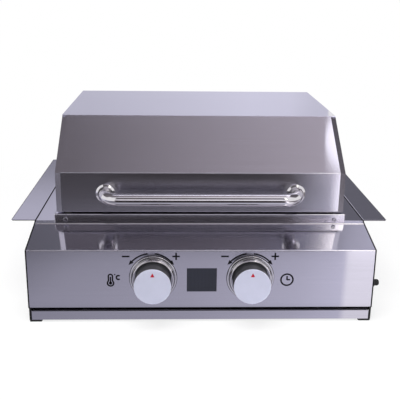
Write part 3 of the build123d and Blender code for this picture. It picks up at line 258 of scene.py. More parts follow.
def tube(path, radius, steps):
    """Circle carried along a level line.

    Each ring stands square to the line: its points are the line's point plus the radius times
    the cosine of the turn along the line's level normal and the sine upwards. The first and
    last rings shrink to their middles, which closes the ends.
    """
    along = unit(np.gradient(path, axis=0))
    up = np.array(UP)
    level_normal = np.cross(up, along)
    angle = np.linspace(0, 2 * np.pi, steps, endpoint=False)[None, :, None]
    circle = radius * (np.cos(angle) * level_normal[:, None] + np.sin(angle) * up)
    rings = path[:, None] + circle
    ends = np.repeat(path[[0, -1], None], steps, 1)
    return np.concatenate([ends[:1], rings, ends[1:]]), False, True


def band(path, across, out, width, proud, sunk, closed=False):
    """Flat band carried along a line on a surface.

    Each point of the line gives four corners: half the width to each side along the direction
    across, once proud of the surface along the direction out and once sunk below it. The ends
    of an open line shrink to their middles, which closes them.
    """
    half = np.asarray(across) * np.broadcast_to(np.asarray(width, float), len(path))[:, None] / 2
    out = np.broadcast_to(np.asarray(out, float), path.shape)
    top, foot = path + out * proud, path - out * sunk
    points = np.stack([top + half, top - half, foot - half, foot + half], 1)
    if closed:
        return points, True, True
    ends = np.repeat(points[[0, -1]].mean(1, keepdims=True), 4, 1)
    return np.concatenate([ends[:1], points, ends[1:]]), False, True


def stroke(path, width, face_y, depth, closed=False):
    """Band of ink along a line of X and Z on an upright face, as wide as given and proud by a depth."""
    path = np.asarray(path, float)
    line = np.stack([path[:, 0], np.full(len(path), face_y), path[:, 1]], 1)
    along = unit(np.roll(line, -1, 0) - np.roll(line, 1, 0)) if closed else unit(np.gradient(line, axis=0))
    return band(line, np.cross(along, FRONT), FRONT, width, depth, 0.0, closed)


def arc(centre, radius, start, end, steps=48):
    """Points at a radius round a centre, from one angle to another in degrees; two radii make it oval."""
    angle = np.radians(np.linspace(start, end, steps))
    return np.array(centre) + np.stack([np.cos(angle), np.sin(angle)], 1) * np.array(radius)


def put(name, patches, finish, body, replaced=()):
    """One piece from grids of points, smooth, with its seams and poles merged and its faces outwards.

    The finish is named by its key in FINISHES.
    """
    points, faces, start = [], [], 0
    for grid, join_rows, join_columns in patches:
        rows, columns = grid.shape[:2]
        points.append(grid.reshape(-1, 3))
        faces.append(round_faces(rows, columns, join_rows, join_columns) + start)
        start += rows * columns
    mesh = bpy.data.meshes.new(name)
    mesh.from_pydata(np.concatenate(points).tolist(), [], np.concatenate(faces).tolist())
    shape = bmesh.new()
    shape.from_mesh(mesh)
    bmesh.ops.remove_doubles(shape, verts=shape.verts, dist=1e-7)
    bmesh.ops.dissolve_degenerate(shape, edges=shape.edges, dist=1e-8)
    bmesh.ops.recalc_face_normals(shape, faces=shape.faces)
    shape.to_mesh(mesh)
    shape.free()
    mesh.polygons.foreach_set("use_smooth", np.ones(len(mesh.polygons), bool))
    mesh.set_sharp_from_angle(angle=math.radians(50))
    mesh.materials.append(FINISHES[finish])
    piece = bpy.data.objects.new(name, mesh)
    bpy.context.scene.collection.objects.link(piece)
    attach(piece, body)
    if replaced:
        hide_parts(*replaced)


# ---- finishes

def times(colour, by):
    """A colour times a factor, no part of it over one."""
    return tuple(min(1.0, part * by) for part in colour)


class Nodes:
    """Emptied node tree of a material or a world, with short words for filling it."""

    def __init__(self, owner):
        owner.use_nodes = True
        self.tree = owner.node_tree
        self.tree.nodes.clear()

    def add(self, kind, **settings):
        """A new node with its settings."""
        node = self.tree.nodes.new(kind)
        for key, value in settings.items():
            setattr(node, key, value)
        return node

    def link(self, source, target):
        """Joins one socket to another."""
        self.tree.links.new(source, target)

    def math(self, operation, *values):
        """One operation on numbers or sockets."""
        node = self.add("ShaderNodeMath", operation=operation)
        for socket, value in zip(node.inputs, values):
            if isinstance(value, bpy.types.NodeSocket):
                self.link(value, socket)
            else:
                socket.default_value = value
        return node.outputs[0]

    def ranged(self, source, low, high, start=0.25, end=0.75):
        """A pattern's start to end taken to low to high."""
        node = self.add("ShaderNodeMapRange")
        for socket, value in zip(node.inputs[1:5], (start, end, low, high)):
            socket.default_value = value
        self.link(source, node.inputs[0])
        return node.outputs[0]

    def seen(self):
        """One for camera, glossy and transmission rays, and nothing for the others."""
        path = self.add("ShaderNodeLightPath")
        total = path.outputs["Is Camera Ray"]
        for name in ("Is Glossy Ray", "Is Transmission Ray"):
            total = self.math("MAXIMUM", total, path.outputs[name])
        return total


class Finish(Nodes):
    """Material of one finish, with short words for its patterns."""

    def __init__(self, name, metallic, shine=0.5, anisotropic=0.0):
        self.material = bpy.data.materials.new(name)
        super().__init__(self.material)
        self.shader = self.add("ShaderNodeBsdfPrincipled")
        self.shader.inputs["Metallic"].default_value = metallic
        self.shader.inputs["Specular IOR Level"].default_value = shine
        self.shader.inputs["Anisotropic"].default_value = anisotropic
        self.link(self.shader.outputs[0], self.add("ShaderNodeOutputMaterial").inputs[0])
        self.coordinates = self.add("ShaderNodeTexCoord")

    def facing(self):
        """The three parts of the direction that a face looks in."""
        node = self.add("ShaderNodeSeparateXYZ")
        self.link(self.coordinates.outputs["Normal"], node.inputs[0])
        return node.outputs

    def scaled(self, scale):
        """Object coordinates, stretched."""
        node = self.add("ShaderNodeMapping")
        node.inputs["Scale"].default_value = scale
        self.link(self.coordinates.outputs["Object"], node.inputs["Vector"])
        return node.outputs[0]

    def grain(self, scale, detail=3.0, roughness=0.55):
        """Noise from 0 to 1 with so many grains to the metre along each axis."""
        node = self.add("ShaderNodeTexNoise")
        node.inputs["Scale"].default_value = 1.0
        node.inputs["Detail"].default_value = detail
        node.inputs["Roughness"].default_value = roughness
        self.link(self.scaled(scale), node.inputs["Vector"])
        return node.outputs["Fac"]

    def cells(self, scale, feature="F1", output="Distance"):
        """Cells, so many to the metre."""
        node = self.add("ShaderNodeTexVoronoi", feature=feature)
        node.inputs["Scale"].default_value = 1.0
        self.link(self.scaled((scale,) * 3), node.inputs["Vector"])
        return node.outputs[output]

    def mixed(self, kind, factor, first, second):
        """Two numbers, vectors or colours mixed by a pattern; each may be a socket."""
        place = {"FLOAT": 2, "VECTOR": 4, "RGBA": 6}[kind]
        node = self.add("ShaderNodeMix", data_type=kind)
        self.link(factor, node.inputs[0])
        for socket, value in zip(node.inputs[place:place + 2], (first, second)):
            if isinstance(value, bpy.types.NodeSocket):
                self.link(value, socket)
            else:
                socket.default_value = (*value, 1.0) if kind == "RGBA" else value
        return node.outputs[{"FLOAT": 0, "VECTOR": 1, "RGBA": 2}[kind]]

    def coloured(self, pattern, colour, darker, lighter):
        """The colour, from darker to lighter, by a pattern."""
        pair = times(colour, darker), times(colour, lighter)
        self.painted_by(self.mixed("RGBA", self.ranged(pattern, 0.0, 1.0), *pair))

    def painted_by(self, source):
        """Base colour from a socket."""
        self.link(source, self.shader.inputs["Base Color"])

    def rough(self, pattern, low, high):
        """Roughness from low to high by a pattern."""
        self.link(self.ranged(pattern, low, high), self.shader.inputs["Roughness"])

    def bumped(self, pattern, depth, strength=1.0):
        """Raised by a pattern, by a depth in metres."""
        node = self.add("ShaderNodeBump")
        node.inputs["Strength"].default_value = strength
        node.inputs["Distance"].default_value = depth
        self.link(pattern, node.inputs["Height"])
        self.link(node.outputs[0], self.shader.inputs["Normal"])


def brushed_steel(name, colour, fine, coarse):
    """Brushed sheet: fine lines from side to side, and front to back on faces that look sideways.

    Light spreads across the lines, so the tangent stands square to them on each face. Upright
    fronts are brushed more coarsely than the rest.
    """
    made = Finish(name, metallic=1.0, anisotropic=1.0)
    facing = made.facing()
    sideways = made.math("GREATER_THAN", made.math("ABSOLUTE", facing[0]), 0.7)
    lines = made.mixed("FLOAT", sideways, made.grain((5, 1500, 1500)), made.grain((1500, 5, 1500)))
    handling = made.grain((7, 11, 11), detail=4.0)
    made.coloured(lines, colour, 0.95, 1.04)
    uneven = made.math("ADD", made.ranged(lines, -0.015, 0.015), made.ranged(handling, -0.01, 0.01))
    brushing = made.ranged(facing[1], coarse, fine, -0.95, -0.70)
    made.link(made.math("ADD", uneven, brushing), made.shader.inputs["Roughness"])
    made.bumped(lines, 0.0000002)
    square = made.mixed("VECTOR", sideways, (0.0, 0.7, 0.7), UP)
    turn = made.add(
        "ShaderNodeVectorTransform", vector_type="VECTOR", convert_from="OBJECT", convert_to="WORLD"
    )
    made.link(square, turn.inputs[0])
    made.link(turn.outputs[0], made.shader.inputs["Tangent"])
    return made.material


def polished_steel(name, colour, low, high):
    """Polished metal with faint wiping marks, and a painted shade on sides that look to the rear and down.
    """
    made = Finish(name, metallic=1.0)
    marks = made.grain((60, 90, 90), detail=5.0)
    facing = made.facing()
    away = made.math("SUBTRACT", facing[1], made.ranged(facing[2], -0.6, 0.0, -1.0, 0.0))
    painted_rear_shade = made.ranged(away, 0.0, 1.0, -0.15, 0.2)
    marked_colour = made.mixed("RGBA", made.ranged(marks, 0.0, 1.0), times(colour, 0.97), times(colour, 1.03))
    # Painted shade: faces that look to the rear and down take 0.38 of the colour, so they and their mirror
    # image in the hood stay dark.
    made.painted_by(made.mixed("RGBA", painted_rear_shade, marked_colour, times(colour, 0.38)))
    made.rough(marks, low, high)
    return made.material


def plain_metal(name, colour, low, high, grains, depth):
    """Unpolished metal with a fine grain."""
    made = Finish(name, metallic=1.0)
    grain = made.grain((grains,) * 3, detail=4.0)
    made.coloured(grain, colour, 0.85, 1.1)
    made.rough(grain, low, high)
    made.bumped(grain, depth)
    return made.material


def galvanised(name, colour):
    """Zinc sheet with flat crystals of different shades."""
    made = Finish(name, metallic=1.0)
    crystals = made.cells(95.0, output="Color")
    grain = made.grain((420,) * 3)
    made.coloured(crystals, colour, 0.82, 1.12)
    made.rough(crystals, 0.34, 0.48)
    made.bumped(grain, 0.00001)
    return made.material


def heat_dulled(name, colour):
    """Element metal with straw and blue heat colours in patches."""
    made = Finish(name, metallic=0.9)
    patches = made.grain((26, 26, 26), detail=4.0)
    cool = tuple(part * by for part, by in zip(colour, (0.75, 0.85, 1.15)))
    warm = tuple(part * by for part, by in zip(colour, (1.35, 1.1, 0.85)))
    made.painted_by(made.mixed("RGBA", made.ranged(patches, 0.0, 1.0), cool, warm))
    made.rough(patches, 0.42, 0.58)
    made.bumped(made.grain((900,) * 3), 0.00001)
    return made.material


def cast_iron(name, colour):
    """Seasoned casting: a sandy surface with a duller and a shinier patch here and there."""
    made = Finish(name, metallic=0.25)
    sand = made.grain((700,) * 3, detail=3.0)
    seasoning = made.grain((22,) * 3, detail=4.0)
    made.coloured(seasoning, colour, 0.8, 1.3)
    made.rough(seasoning, 0.42, 0.64)
    made.bumped(sand, 0.00012, 0.6)
    return made.material


def painted(name, colour, low, high, grains, depth, shine=0.5):
    """Paint, moulding or rubber: a fine skin with a slight change of shade."""
    made = Finish(name, metallic=0.0, shine=shine)
    skin = made.grain((grains,) * 3, detail=3.0)
    shade = made.grain((30,) * 3, detail=3.0)
    made.coloured(shade, colour, 0.85, 1.15)
    made.rough(skin, low, high)
    made.bumped(skin, depth, 0.5)
    return made.material


def satin_aluminium(name, colour):
    """Bead-blasted and anodised disc, fine and even."""
    made = Finish(name, metallic=0.55)
    beads = made.grain((2600,) * 3, detail=2.0)
    shade = made.grain((55,) * 3, detail=3.0)
    made.coloured(shade, colour, 0.97, 1.02)
    made.rough(beads, 0.34, 0.44)
    made.bumped(beads, 0.000006)
    return made.material


def dark_glass(name, colour):
    """Glass over a switched-off display: dark slate with hardly visible upright bands."""
    made = Finish(name, metallic=0.0)
    waves = made.add("ShaderNodeTexWave", wave_type="BANDS", bands_direction="X")
    waves.inputs["Scale"].default_value = 1.0
    made.link(made.scaled((55, 1, 1)), waves.inputs["Vector"])
    made.coloured(waves.outputs["Fac"], colour, 0.97, 1.03)
    made.rough(made.grain((120,) * 3), 0.10, 0.18)
    return made.material


def circuit_board(name, colour):
    """Green lacquer over copper tracks."""
    made = Finish(name, metallic=0.0)
    tracks = made.cells(260.0, feature="DISTANCE_TO_EDGE")
    ring = made.ranged(tracks, 0.0, 1.0, 0.06, 0.12)
    made.painted_by(made.mixed("RGBA", ring, colour, times(colour, 0.6)))
    made.rough(made.grain((300,) * 3), 0.28, 0.40)
    made.bumped(ring, 0.00004, 0.5)
    return made.material


FINISHES = {}

FINISH_OF_NODES = {
    "stainless": (
        "body_wrap", "control_panel", "rear_panel", "flange_left", "flange_right", "fire_tub",
        "drawer_front", "hood_side_left", "hood_side_right",
    ),
    "hood": ("hood_wrap",),
    "polished": ("temperature_bezel", "timer_bezel", "handle_tube", "handle_rosettes"),
    "screws": (
        "side_screws", "rear_screws", "flange_screws", "deck_hinge_screws",
        "handle_screws", "hood_hinge_screws", "hinge_pins",
    ),
    "browned": ("rim_screws",),
    "hinges": ("lower_hinge_left", "lower_hinge_right", "upper_hinge_left", "upper_hinge_right"),
    "black_paint": ("base_rail_left", "base_rail_right", "base_rail_rear"),
    "zinc": (
        "bottom_plate", "heat_shield", "runner_left", "runner_right", "drip_tray",
        "plate_brackets", "drain_spout",
    ),
    "heater": (
        "heating_element", "element_straps", "temperature_probe", "temperature_shaft", "timer_shaft",
    ),
    "iron": ("cooking_plate",),
    "knob_side": ("temperature_knob", "timer_knob"),
    "aluminium": ("temperature_knob_cap", "timer_knob_cap"),
    "glass": ("display_window",),
    "board": ("control_board",),
    "plastic": (
        "display_module", "encoders", "terminal_block", "power_inlet", "breaker_body", "breaker_collar",
    ),
    "brass": ("board_standoffs", "encoder_nuts"),
    "rubber": ("mains_loom", "feet", "hood_bumpers", "reset_button"),
}


class GRILL_OT_finishes(bpy.types.Operator):
    """Makes every finish and lays it on the CAD nodes."""

    bl_idname = "grill.finishes"
    bl_label = "Finishes"

    def execute(self, context):
        tone = context.scene.grill_colours
        FINISHES.update(
            stainless=brushed_steel("brushed_stainless", tone.steel, FINE, COARSE),
            hood=brushed_steel("brushed_hood", tone.steel, FINE, HOOD_COARSE),
            polished=polished_steel("polished_steel", tone.polished, 0.06, 0.10),
            screws=plain_metal("screw_steel", tone.screws, 0.24, 0.36, 500, 0.000008),
            # Rim screws: the sheet's brushed steel at 0.7 of its colour, darker than the sheet.
            browned=brushed_steel("browned_steel", times(tone.steel, 0.7), FINE, COARSE),
            hinges=plain_metal("hinge_steel", tone.hinges, 0.30, 0.44, 650, 0.000008),
            black_paint=painted("black_paint", tone.black_paint, 0.38, 0.52, 900, 0.00005, 0.25),
            zinc=galvanised("galvanised_sheet", tone.zinc),
            heater=heat_dulled("heater_steel", tone.heater),
            iron=cast_iron("cast_iron", tone.iron),
            knob_side=painted("knob_side", tone.knob_side, 0.26, 0.34, 1400, 0.00001, 0.35),
            aluminium=satin_aluminium("satin_aluminium", tone.aluminium),
            glass=dark_glass("display_glass", tone.glass),
            board=circuit_board("circuit_board", tone.board),
            plastic=painted("black_plastic", tone.plastic, 0.40, 0.54, 1200, 0.00004),
            brass=plain_metal("brass", tone.brass, 0.22, 0.34, 600, 0.000008),
            rubber=painted("black_rubber", tone.rubber, 0.58, 0.72, 800, 0.00005, 0.2),
            # Ink for the printed signs, also used for the bands of painted shade at the joints, the knob
            # rings and the drawer.
            ink=painted("sign_ink", tone.ink, 0.50, 0.60, 1500, 0.000004, 0.08),
            pointer=painted("red_pointer", tone.pointer, 0.34, 0.44, 1500, 0.000004, 0.15),
        )
        left = set(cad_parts)
        for finish, nodes in FINISH_OF_NODES.items():
            for node in nodes:
                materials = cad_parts[node].data.materials
                materials.clear()
                materials.append(FINISHES[finish])
                left.discard(node)
        if left:
            raise RuntimeError(f"nodes without a finish: {sorted(left)}")
        return {"FINISHED"}


# ---- pieces

class GRILL_OT_handle(bpy.types.Operator):
    """Makes the bent handle tube and the ring at each of its feet."""

    bl_idname = "grill.handle"
    bl_label = "Handle"

    def execute(self, context):
        size = context.scene.grill_sizes
        low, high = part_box("handle_tube")
        radius = size.tube / 2
        span = high[0] - radius
        front = low[1] + radius
        height = (low[2] + high[2]) / 2
        corners = [(-span, HOOD_Y, height), (-span, front, height),
                   (span, front, height), (span, HOOD_Y, height)]
        path = eased(corners, (0, size.bend, size.bend, 0), steps=28, support=0.1)
        bar = tube(path, radius, 64)
        put("handle_bar", [bar], "polished", "hood", ["handle_tube"])
        bore = radius + 0.05 * MM
        profile = eased(
            [(bore, 0), (size.rosette, 0), (size.rosette, 1.9 * MM),
             (bore + 2.1 * MM, size.rosette_height), (bore, size.rosette_height)],
            np.array([0.02, 0.15, 1.0, 1.2, 0.4]) * MM,
        )
        rings = [turned(profile, (x, HOOD_Y, height), size.turn_steps, True) for x in (-span, span)]
        put("handle_rings", rings, "polished", "hood", ["handle_rosettes"])
        return {"FINISHED"}


class GRILL_OT_knob_rings(bpy.types.Operator):
    """Makes the stepped ring round each knob, with dark lines of painted shade at its foot and at its
    step.
    """

    bl_idname = "grill.knob_rings"
    bl_label = "Knob rings"

    def execute(self, context):
        size = context.scene.grill_sizes
        wall = size.ring_bore + 3.6 * MM
        step = 2.6 * MM
        profile = eased(
            [(size.ring_bore, 0), (size.ring, 0), (size.ring, step), (wall, step),
             (wall - 0.9 * MM, size.ring_height), (size.ring_bore, size.ring_height)],
            np.array([0.02, 0.15, 0.9, 0.8, 1.2, 0.7]) * MM,
        )
        # Dark lines at the ring's foot and step: painted shade of the gaps there, drawn in ink.
        ring_shade_sizes = (size.ring + 0.1 * MM, 1.3 * MM, 0.0), (wall + 0.75 * MM, 0.9 * MM, step)
        for name, place in KNOB_MIDDLES.items():
            ring = turned(profile, (place[0], FASCIA_Y, place[2]), size.turn_steps, True)
            put(f"{name}_ring", [ring], "polished", "body", [f"{name}_bezel"])
            ring_shades = []
            for radius, width, height in ring_shade_sizes:
                circle = arc((place[0], place[2]), radius, 0, 357, 120)
                ring_shades.append(stroke(circle, width, FASCIA_Y - height, size.ink, closed=True))
            put(f"{name}_ring_shade_lines", ring_shades, "ink", "body")
        return {"FINISHED"}


class GRILL_OT_knobs(bpy.types.Operator):
    """Makes the two knobs with their metal caps and red pointers."""

    bl_idname = "grill.knobs"
    bl_label = "Knobs"

    def execute(self, context):
        size = context.scene.grill_sizes
        foot, top, inner = 1.2 * MM, CAP_FACE - size.cap, 12.5 * MM
        waist = size.knob - 0.85 * MM
        hollow, shaft, shaft_top = waist - 5.0 * MM, 3.0 * MM, 27.0 * MM
        skirt = eased(
            [(0, top), (waist, top), (waist, 10.85 * MM), (size.knob, 10.0 * MM),
             (size.knob, 2.05 * MM), (waist, foot), (hollow, foot), (hollow, inner),
             (shaft, inner), (shaft, shaft_top), (0, shaft_top)],
            np.array([0, 0.2, 0.5, 0.4, 0.5, 0.4, 0.2, 0.2, 0.05, 0.05, 0]) * MM,
        )
        face = CAP_FACE - size.ink
        disc = eased(
            [(0, top), (size.knob, top), (size.knob, face), (0, face)],
            np.array([0, 0.25, 0.7, 0]) * MM,
        )
        for name, place in KNOB_MIDDLES.items():
            body = f"{name}_control"
            axis = (place[0], FASCIA_Y, place[2])
            put(f"{name}_grip", [turned(skirt, axis, size.turn_steps, False)],
                "knob_side", body, [f"{name}_knob"])
            put(f"{name}_cap", [turned(disc, axis, size.turn_steps, False)],
                "aluminium", body, [f"{name}_knob_cap"])
            mark = [(place[0], place[2] + 16.6 * MM), (place[0], place[2] + 23.2 * MM)]
            mark = stroke(mark, (6.6 * MM, 0), FASCIA_Y - face, size.ink)
            put(f"{name}_pointer", [mark], "pointer", body)
        return {"FINISHED"}


class GRILL_OT_button(bpy.types.Operator):
    """Makes the round-nosed reset button on the right wall."""

    bl_idname = "grill.button"
    bl_label = "Reset button"

    def execute(self, context):
        low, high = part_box("reset_button")
        radius = (high[2] - low[2]) / 2
        nose = high[0] - low[0]
        corners = [(0, 0), (radius, 0), (radius, nose), (0, nose)]
        profile = eased(corners, (0, 0.3 * MM, 3.0 * MM, 0), steps=14)
        place = (low[0], (low[1] + high[1]) / 2, (low[2] + high[2]) / 2)
        stem = turned(profile, place, 64, False, axis=ACROSS)
        put("button_stem", [stem], "rubber", "button", ["reset_button"])
        return {"FINISHED"}


class GRILL_OT_joint_shades(bpy.types.Operator):
    """Lays the joint lines at the sides, whose black is painted shade, a strip of painted shade on the
    drawer's top edge, and the bright bead on the top of the control slope.
    """

    bl_idname = "grill.joints"
    bl_label = "Joint shade lines"

    def execute(self, context):
        size = context.scene.grill_sizes
        low, high = (np.array(corner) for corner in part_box("control_panel"))
        wing_low, wing_high = (np.array(corner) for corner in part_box("flange_right"))
        deck, rear = float(wing_high[2]), float(wing_high[1])
        slope_end = FASCIA_Y + size.slope_run
        slope_top = deck - size.lip_rise
        corners = [(FASCIA_Y, low[2] + 0.2 * MM), (FASCIA_Y, slope_top - size.slope_rise),
                   (slope_end, slope_top), (slope_end + size.lip_run, deck), (rear - 0.5 * MM, deck)]
        outline = eased(corners, np.array([0, 2.0, 0.6, 2.0, 0]) * MM)
        along = unit(np.gradient(outline, axis=0))
        zero = np.zeros(len(outline))
        out = np.stack([zero, -along[:, 1], along[:, 0]], 1)
        # Dark bands along the side edges, the gaps between deck and wings and the wings' front edges: the
        # joints are real, their black is painted shade.
        sides = []
        for side in (-1, 1):
            line = np.column_stack([np.full(len(outline), side * (high[0] - 0.1 * MM)), outline])
            sides.append(band(line, ACROSS, out, size.joint_shade, 0.12 * MM, 0.1 * MM))
            edge = side * (wing_high[0] - 0.45 * MM)
            wing = np.array([(edge, y, deck) for y in (wing_low[1] + 1.0 * MM, rear - 2.0 * MM)])
            sides.append(band(wing, ACROSS, UP, 0.9 * MM, 0.02 * MM, 0.1 * MM))
            ends = side * (high[0] + 1.2 * MM), side * (wing_high[0] - 1.5 * MM)
            front = np.array([(x, wing_low[1] + 0.05 * MM, deck - 0.8 * MM) for x in ends])
            sides.append(band(front, UP, FRONT, 1.1 * MM, 0.1 * MM, 0.0))
        put("side_joint_shades", sides, "ink", "body")
        # Dark strip on the drawer's top edge: painted shade of the gap between fascia and drawer.
        drawer_low, drawer_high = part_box("drawer_front")
        ends = drawer_low[0] + 0.5 * MM, drawer_high[0] - 0.5 * MM
        edge = np.array([(x, drawer_low[1], drawer_high[2] - size.gap_shade / 2) for x in ends])
        gap_shade = band(edge, UP, FRONT, size.gap_shade, 0.1 * MM, 0.1 * MM)
        put("drawer_gap_shade", [gap_shade], "ink", "drawer")
        ends = low[0] + 1.5 * MM, high[0] - 1.5 * MM
        bead = tube(np.array([(x, slope_end - 0.6 * MM, slope_top) for x in ends]), size.bead / 2, 24)
        put("slope_bead", [bead], "polished", "body")
        return {"FINISHED"}


def thermometer(x, z, width, face, depth):
    """Outlined tube with a bulb at its foot, its filling and a line up the middle."""
    bulb, half = 4.9 * MM, 3.2 * MM
    top = z + 15.0 * MM - half
    open_angle = math.degrees(math.asin(half / bulb))
    outline = np.concatenate([
        arc((x, z), bulb, 90 + open_angle, 450 - open_angle, 56),
        arc((x, top), half, 0, 180, 24),
    ])
    return [
        stroke(outline, width, face, depth, closed=True),
        stroke([(x, z), (x, top - 1.0 * MM)], 2.2 * MM, face, depth),
        stroke(arc((x, z), 1.3 * MM, 0, 350, 36), 2.6 * MM, face, depth, closed=True),
    ]


class GRILL_OT_signs(bpy.types.Operator):
    """Prints the signs on the fascia: minus, plus, arrows, thermometer, degree sign and clock."""

    bl_idname = "grill.signs"
    bl_label = "Fascia signs"

    def execute(self, context):
        size = context.scene.grill_sizes
        width, depth = size.stroke, size.ink
        face = FASCIA_Y

        def line(path, breadth=width, closed=False):
            return stroke(np.asarray(path), breadth, face, depth, closed)

        def bar(x, z, long, upright=False):
            dx, dz = (0, long / 2) if upright else (long / 2, 0)
            return line([(x - dx, z - dz), (x + dx, z + dz)], 2.6 * MM)

        sign_z, long = 112.0 * MM, 12.0 * MM
        minus_x, plus_x = (-119.6 * MM, 36.0 * MM), (-40.8 * MM, 115.3 * MM)
        patches = [bar(x, sign_z, long) for x in minus_x]
        for x in plus_x:
            patches += [bar(x, sign_z, long), bar(x, sign_z, long, True)]
        for x in (-KNOB_SPREAD - 2.7 * MM, KNOB_SPREAD - 1.2 * MM):
            centre = (x, KNOB_Z)
            for start, end in ((82, 43), (98, 137)):
                patches.append(line(arc(centre, size.arrow_radius, start, end)))
                turn = math.radians(end)
                tip = np.array(centre) + size.arrow_radius * np.array([math.cos(turn), math.sin(turn)])
                ahead = np.sign(end - start) * np.array([-math.sin(turn), math.cos(turn)])
                patches.append(line([tip, tip + ahead * 8.2 * MM], (6.8 * MM, 0)))
        patches += thermometer(-144.3 * MM, 66.8 * MM, width, face, depth)
        patches.append(line(arc((-137.4 * MM, 81.4 * MM), 0.6 * MM, 0, 350, 24), 1.15 * MM, True))
        patches.append(line(arc((-132.0 * MM, 76.4 * MM), (2.9 * MM, 3.3 * MM), 42, 318, 40), 2.6 * MM))
        clock = (135.7 * MM, 72.1 * MM)
        patches.append(line(arc(clock, 9.6 * MM, 0, 355, 72), 2.6 * MM, True))
        patches.append(line([(clock[0], clock[1] - 0.6 * MM), (clock[0], clock[1] + 6.4 * MM)]))
        patches.append(line([clock, (clock[0] + 5.0 * MM, clock[1])]))
        put("fascia_signs", patches, "ink", "body")
        return {"FINISHED"}


# ---- stage

def quad(a, b, c, d):
    """Grid between four corners: each point is the corners' mean, weighted by two shares."""
    u, v = np.meshgrid(np.linspace(0, 1, 9), np.linspace(0, 1, 9), indexing="ij")
    u, v = u[..., None], v[..., None]
    a, b, c, d = (np.array(corner, float) for corner in (a, b, c, d))
    return (1 - u) * (1 - v) * a + u * (1 - v) * b + u * v * c + (1 - u) * v * d


def disc(x, y, z, radius):
    """Level round grid: the middle plus a share of the radius times the cosine and sine of the turn."""
    share, turn = np.meshgrid(np.linspace(0.02, 1, 5), np.linspace(0, 2 * np.pi, 65), indexing="ij")
    level_z = np.full(share.shape, z)
    return np.stack([x + radius * share * np.cos(turn), y + radius * share * np.sin(turn), level_z], -1)


def stage_patch(name, points, material):
    """Piece of the stage from a grid of points."""
    mesh = bpy.data.meshes.new(name)
    faces = round_faces(*points.shape[:2], False, False)
    mesh.from_pydata(points.reshape(-1, 3).tolist(), [], faces.tolist())
    mesh.materials.append(material)
    patch = bpy.data.objects.new(name, mesh)
    bpy.context.scene.collection.objects.link(patch)
    return patch


def card(name, points, stops, along):
    """Studio card that only polished surfaces show.

    Its light runs through stops of place, level and tint. The place is measured along a line.
    """
    material = bpy.data.materials.new(name)
    nodes = Nodes(material)
    first, last = stops[0][0], stops[-1][0]
    peak = max(stop[1] for stop in stops)
    place = nodes.add("ShaderNodeVectorMath", operation="DOT_PRODUCT")
    place.inputs[1].default_value = along
    nodes.link(nodes.add("ShaderNodeTexCoord").outputs["Object"], place.inputs[0])
    shade = nodes.add("ShaderNodeValToRGB")
    ramp = shade.color_ramp.elements
    for stop in stops[1:-1]:
        ramp.new((stop[0] - first) / (last - first))
    for element, (_, bright, colour) in zip(ramp, stops):
        element.color = (*(part * bright / peak for part in colour), 1)
    nodes.link(nodes.ranged(place.outputs["Value"], 0.0, 1.0, first, last), shade.inputs[0])
    glow = nodes.add("ShaderNodeEmission")
    glow.inputs["Strength"].default_value = peak
    nodes.link(shade.outputs[0], glow.inputs["Color"])
    nodes.link(glow.outputs[0], nodes.add("ShaderNodeOutputMaterial").inputs[0])
    made = stage_patch(name, points, material)
    made.visible_camera = made.visible_diffuse = made.visible_shadow = False
    made.visible_transmission = made.visible_volume_scatter = False


def lying(x, y, z=CARD_Z):
    """Level card between two values of X and of Y."""
    return quad((x[0], y[0], z), (x[1], y[0], z), (x[1], y[1], z), (x[0], y[1], z))


def standing(x, y, z):
    """Upright card that faces along Y, between two values of X and of Z."""
    return quad((x[0], y, z[0]), (x[1], y, z[0]), (x[1], y, z[1]), (x[0], y, z[1]))


def even(bright, colour):
    """Stops of a card with the same light all over."""
    return (0.0, bright, colour), (1.0, bright, colour)


def soft_box(name, place, aim, side, power):
    """Square soft box that lights matt surfaces and doesn't show in polished ones."""
    lamp = bpy.data.lights.new(name, "AREA")
    lamp.shape, lamp.size, lamp.energy = "SQUARE", side, power
    box = bpy.data.objects.new(name, lamp)
    box.location = place
    box.rotation_mode = "QUATERNION"
    box.rotation_quaternion = (Vector(aim) - Vector(place)).to_track_quat("-Z", "Y")
    box.visible_glossy = False
    bpy.context.scene.collection.objects.link(box)


